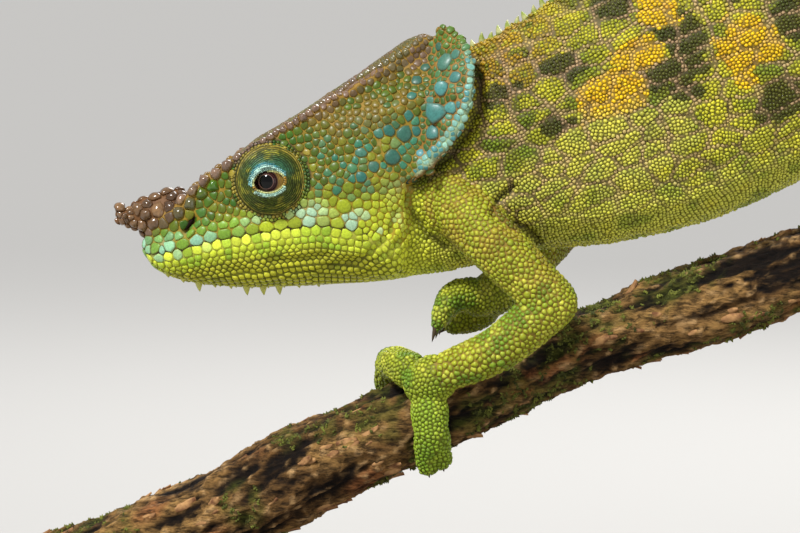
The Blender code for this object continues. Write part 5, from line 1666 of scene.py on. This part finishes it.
def cut_branch():
    """The ridged bark with its bare cut ends, how thickly flakes may lie, and the moss."""
    points, loops, sizes, _ = voxel_mesh(["perch"], 0.34, 3)
    normals, _, _ = point_normals(points, loops)
    x = points[:, 0]
    level = curve_at(PERCH_LINE, x)
    turn = np.arctan2(points[:, 1], points[:, 2] - level)
    around = np.stack([np.sin(turn) * 5.5, np.cos(turn) * 5.5], axis=1)
    slow = np.column_stack([x * 0.3, around])
    mid = np.column_stack([x * 0.42, around])
    ridge = 1.0 - np.abs(value_noise(slow, 2.1, 81)) * 1.6
    fibre = 1.0 - np.abs(value_noise(mid, 0.95, 87)) * 1.6
    plates = value_noise(mid, 2.4, 82)
    lumps = value_noise(points, 5.5, 88)
    grit = value_noise(points, 0.8, 83)
    step = np.floor(plates * 3.0) / 3.0
    ends = np.abs(normals[:, 0]) > 0.8
    rise = 0.55 * (ridge - 0.4) + 0.35 * (fibre - 0.4) + 0.5 * step + 0.35 * lumps + 0.2 * grit
    held = np.min([line_distance(points, [(a, b), (a + 0.1, b)]) for a, b in GRIPS],
                  axis=0)
    rise = np.where(ends, 0.04 * grit, np.clip(rise - 0.15, -1.1, 0.75))
    rise = np.minimum(rise, 0.05 + 0.7 * smoothstep(4.5, 8.0, held))
    points = points + normals * rise[:, None]
    colour = mix(linear("74542E"), linear("A07A46"), smoothstep(-0.4, 0.5, plates))
    colour = mix(colour, linear("8C4C2C"), 0.6 * smoothstep(0.25, 0.6, value_noise(mid, 3.0, 89)))
    worn = smoothstep(0.35, 0.7, fibre) * smoothstep(0.1, 0.6, grit)
    colour = mix(colour, linear("C8A06C"), 0.75 * worn)
    # Painted shade: near black where the bark lies lowest, in its cracks
    colour = mix(colour, linear("1C120A"), smoothstep(0.05, -0.5, rise))
    moss = smoothstep(0.0, 0.4, value_noise(points, 6.0, 85) + 0.3 * np.abs(normals[:, 2]) - 0.1)
    moss = np.where(ends, 0.0, moss * smoothstep(-0.5, 0.3, value_noise(points, 1.4, 86)))
    colour = mix(colour, linear("555A1E"), 0.6 * moss)
    rings = np.hypot(points[:, 1], (points[:, 2] - level) * 0.95)
    wood = mix(linear("B08E62"), linear("8C6A44"), smoothstep(0.2, 0.9, np.sin(rings * 7.0)))
    colour = np.where(ends[:, None], wood, colour)
    mesh = mesh_from("perch_bark", points, sizes, loops)
    paint(mesh, colour)
    free = np.where(ends, 0.0, smoothstep(5.0, 8.0, held))
    return mesh, free * smoothstep(-0.1, 0.5, rise) * (1.0 - 0.7 * moss), free * moss


def build_perch():
    """The cut branch: ridged bark, lifting flakes and moss."""
    mesh, flaking, mossy = cut_branch()
    set_cover(mesh, flaking)
    tree = spread_tree()
    # Lifted flakes show their pale dry edges, which draw thin bright lines over the dark bark
    bark = noise_material("flaking_bark_edges", "70482A", "BC8E5A", 1.2, 0.92)
    flakes = spread(tree, "bark_flakes", mesh.copy(), flake_mesh(2.6, 1.0, 0.16, 0.35), bark,
                    {"Density": 270000.0, "Seed": 4, "Smallest": 0.4, "Largest": 1.2,
                     "Lean": (0.93, 0.0, 0.36), "Spin": (0.25, 0.2, 0.3)})
    finish_piece(flakes, ["perch"], None, False)
    set_cover(mesh, mossy)
    # Moss takes light in between its tips: a dull, soft green without any shine
    green = noise_material("cushion_moss", "3C4014", "7C8030", 1.2, 0.95)
    tuft = horns("tuft", [((0.0, 0.0, -0.15), (0.05, 0.0, 0.3), (0.0, 0.0, 0.0), 0.2),
                          ((0.14, 0.12, -0.15), (0.0, 0.26, 0.22), (0.0, 0.05, 0.0), 0.16),
                          ((-0.12, -0.12, -0.15), (-0.2, -0.22, 0.2), (0.0, 0.0, 0.05), 0.15)], 5, 3)
    tuft.transform(Matrix.Translation(Vector((SHIFT * MM).tolist())))
    tufts = spread(tree, "moss_tufts", mesh.copy(), tuft, green,
                   {"Density": 1500000.0, "Seed": 9, "Smallest": 0.6, "Largest": 1.5,
                    "Lean": (0.93, 0.0, 0.36), "Spin": (0.6, 0.6, 3.1)})
    finish_piece(tufts, ["perch"], None, False)
    finish_piece(new_piece("perch_bark", mesh), ["perch"], bark_material())


def walnut_material():
    """Dark walnut with its grain along the base."""
    # Varnished walnut: long dark grain under a thin coat that gives a broad, soft sheen
    wood, tree, shader = new_material("dark_varnished_walnut")
    place = node(tree, "ShaderNodeTexCoord")
    stretch = node(tree, "ShaderNodeMapping", {"Vector": place.outputs["Object"]})
    stretch.inputs["Scale"].default_value = (12.0, 130.0, 130.0)
    grain = node(tree, "ShaderNodeTexNoise", {"Vector": stretch.outputs["Vector"], "Scale": 4.0,
                                              "Detail": 6.0, "Distortion": 1.2})
    tone = node(tree, "ShaderNodeValToRGB", {"Fac": grain.outputs["Fac"]})
    tone.color_ramp.elements[0].position = 0.35
    tone.color_ramp.elements[0].color = (*linear("21140C"), 1.0)
    tone.color_ramp.elements[1].position = 0.68
    tone.color_ramp.elements[1].color = (*linear("4A2F1E"), 1.0)
    rise = node(tree, "ShaderNodeBump", {"Height": grain.outputs["Fac"], "Strength": 0.15,
                                         "Distance": 0.1 * MM})
    tree.links.new(tone.outputs["Color"], shader.inputs["Base Color"])
    tree.links.new(rise.outputs["Normal"], shader.inputs["Normal"])
    shader.inputs["Roughness"].default_value = 0.55
    shader.inputs["Coat Weight"].default_value = 0.12
    return wood


def build_base():
    """The flat wooden base with rounded corners and a softened upper edge."""
    low, high = [np.array(c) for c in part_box("stand_base")]
    work = bmesh.new()
    bmesh.ops.create_cube(work, size=1.0)
    for point in work.verts:
        point.co = Vector(((low + high) / 2 + np.array(point.co) * (high - low)).tolist())
    upright = [e for e in work.edges if abs(e.verts[0].co.z - e.verts[1].co.z) > 0.001]
    bmesh.ops.bevel(work, geom=upright, offset=8.0 * MM, segments=10, affect="EDGES", profile=0.5)
    top = [e for e in work.edges if all(v.co.z > high[2] - 1e-5 for v in e.verts)]
    bmesh.ops.bevel(work, geom=top, offset=1.4 * MM, segments=4, affect="EDGES", profile=0.5)
    bmesh.ops.recalc_face_normals(work, faces=work.faces)
    mesh = bpy.data.meshes.new("base_board")
    work.to_mesh(mesh)
    work.free()
    finish_piece(new_piece("base_board", mesh), ["stand_base"], walnut_material())
    mesh.set_sharp_from_angle(angle=math.radians(35.0))


def brass_material():
    """Brass, brushed round the rods."""
    # Brushed brass: a metal whose fine scratches draw its highlights out along the rod
    brass, tree, shader = new_material("brushed_brass")
    place = node(tree, "ShaderNodeTexCoord")
    stretch = node(tree, "ShaderNodeMapping", {"Vector": place.outputs["Object"]})
    stretch.inputs["Scale"].default_value = (400.0, 400.0, 6000.0)
    brush = node(tree, "ShaderNodeTexNoise", {"Vector": stretch.outputs["Vector"], "Scale": 1.0,
                                              "Detail": 2.0})
    rough = node(tree, "ShaderNodeMapRange", {"Value": brush.outputs["Fac"], "To Min": 0.25,
                                              "To Max": 0.42})
    tree.links.new(rough.outputs["Result"], shader.inputs["Roughness"])
    shader.inputs["Base Color"].default_value = (*linear("C9A35A"), 1.0)
    shader.inputs["Metallic"].default_value = 1.0
    return brass


def build_rods():
    """The two brass rods, each turned with a flange at its foot."""
    brass = brass_material()
    for name in ("stand_rod_low", "stand_rod_high"):
        low, high = [np.array(c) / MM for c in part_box(name)]
        middle = (low + high) / 2
        tall = high[2] - low[2] + 0.9
        profile = [(5.5, 0.0), (5.5, 1.3), (5.3, 1.7), (4.9, 2.0), (3.3, 2.2), (2.75, 2.6),
                   (2.5, 3.3), (2.5, tall)]
        sides = 48
        points = []
        for radius, rise in profile:
            for i in range(sides):
                a = 2 * math.pi * i / sides
                points.append((middle[0] + radius * math.cos(a) + SHIFT[0],
                               middle[1] + radius * math.sin(a), low[2] - 0.3 + rise))
        last = len(points) - sides
        faces = []
        for start in range(0, last, sides):
            for i in range(sides):
                j = (i + 1) % sides
                faces.append((start + i, start + j, start + sides + j, start + sides + i))
        sizes = np.array([4] * len(faces) + [sides, sides])
        loops = np.array([v for f in faces for v in f] + list(reversed(range(sides)))
                         + list(range(last, len(points))))
        mesh = mesh_from(name + "_turned", np.array(points), sizes, loops)
        finish_piece(new_piece(name + "_turned", mesh), [name], brass)
        mesh.set_sharp_from_angle(angle=math.radians(40.0))


def build_stage():
    """The pale floor, the soft lights and the camera at the photo's angle."""
    work = bmesh.new()
    bmesh.ops.create_grid(work, x_segments=1, y_segments=1, size=30.0)
    mesh = bpy.data.meshes.new("floor")
    work.to_mesh(mesh)
    work.free()
    floor = new_piece("floor", mesh)
    # A matt grey-beige floor, which takes a soft shadow and throws back no mirror of the stand
    pale, _, shader = new_material("pale_floor")
    shader.inputs["Base Color"].default_value = (*linear("BCBAB6"), 1.0)
    shader.inputs["Roughness"].default_value = 0.9
    mesh.materials.append(pale)
    bpy.context.scene.view_settings.view_transform = "Standard"
    world = bpy.data.worlds.new("studio")
    bpy.context.scene.world = world
    world.use_nodes = True
    backdrop = world.node_tree.nodes["Background"].inputs
    backdrop["Color"].default_value = (*linear("EFF1F6"), 1.0)
    backdrop["Strength"].default_value = 0.42
    for name, kind, place, size, power in (("key", "SUN", (-0.6, -0.7, 1.1), 0.16, 3.3),
                                           ("fill", "AREA", (0.35, -0.45, 0.2), 0.4, 0.5),
                                           ("rim", "AREA", (0.1, 0.4, 0.45), 0.3, 1.8)):
        data = bpy.data.lights.new(name, kind)
        data.energy = power
        if kind == "SUN":
            data.angle = size
        else:
            data.size = size
        light = bpy.data.objects.new(name, data)
        light.location = place
        aim = Vector((-0.03, 0.0, 0.08)) - Vector(place)
        light.rotation_euler = aim.to_track_quat("-Z", "Y").to_euler()
        bpy.context.scene.collection.objects.link(light)
    distance = 0.42
    view_width = 0.104
    sensor_width = 36.0
    tilt = math.radians(5.0)
    data = bpy.data.cameras.new("camera")
    camera = bpy.data.objects.new("camera", data)
    camera.location = (-0.044, -0.008 - math.cos(tilt) * distance,
                       0.072 + math.sin(tilt) * distance)
    camera.rotation_euler = (math.pi / 2 - tilt, 0.0, 0.0)
    data.sensor_width = sensor_width
    data.lens = sensor_width * distance / view_width
    data.clip_start = 0.01
    bpy.context.scene.collection.objects.link(camera)
    bpy.context.scene.camera = camera


def main():
    """Builds every piece."""
    build_stage()
    # Thin loose skin: matt and finely creased, so that the seams between scales stay dull
    hide = tinted_material("bare_reptile_skin", 0.6, 0.3, 0.4, 0.18)
    # Smooth horny scales: each dome carries a small soft glint of the sun
    keratin = tinted_material("reptile_scale_keratin", 0.42, 0.25, 0.25, 0.2, 0.12)
    # Worn, polished knobs of horn: a clear sharp highlight, as on wet pebbles
    knob = tinted_material("glossy_horn_knob", 0.22, 0.4, 0.15, 0.3, 0.8)
    skin, surface = build_skin()
    finish_piece(skin, FLESH, hide)
    coat = build_coat(surface)
    build_coat_pieces(coat, keratin, knob)
    build_claws()
    build_spines(surface["tree"], keratin)
    build_chin_cones(surface["tree"], keratin)
    build_lids(surface, keratin)
    build_nostrils(surface["tree"])
    build_eyeballs()
    build_perch()
    build_base()
    build_rods()


main()
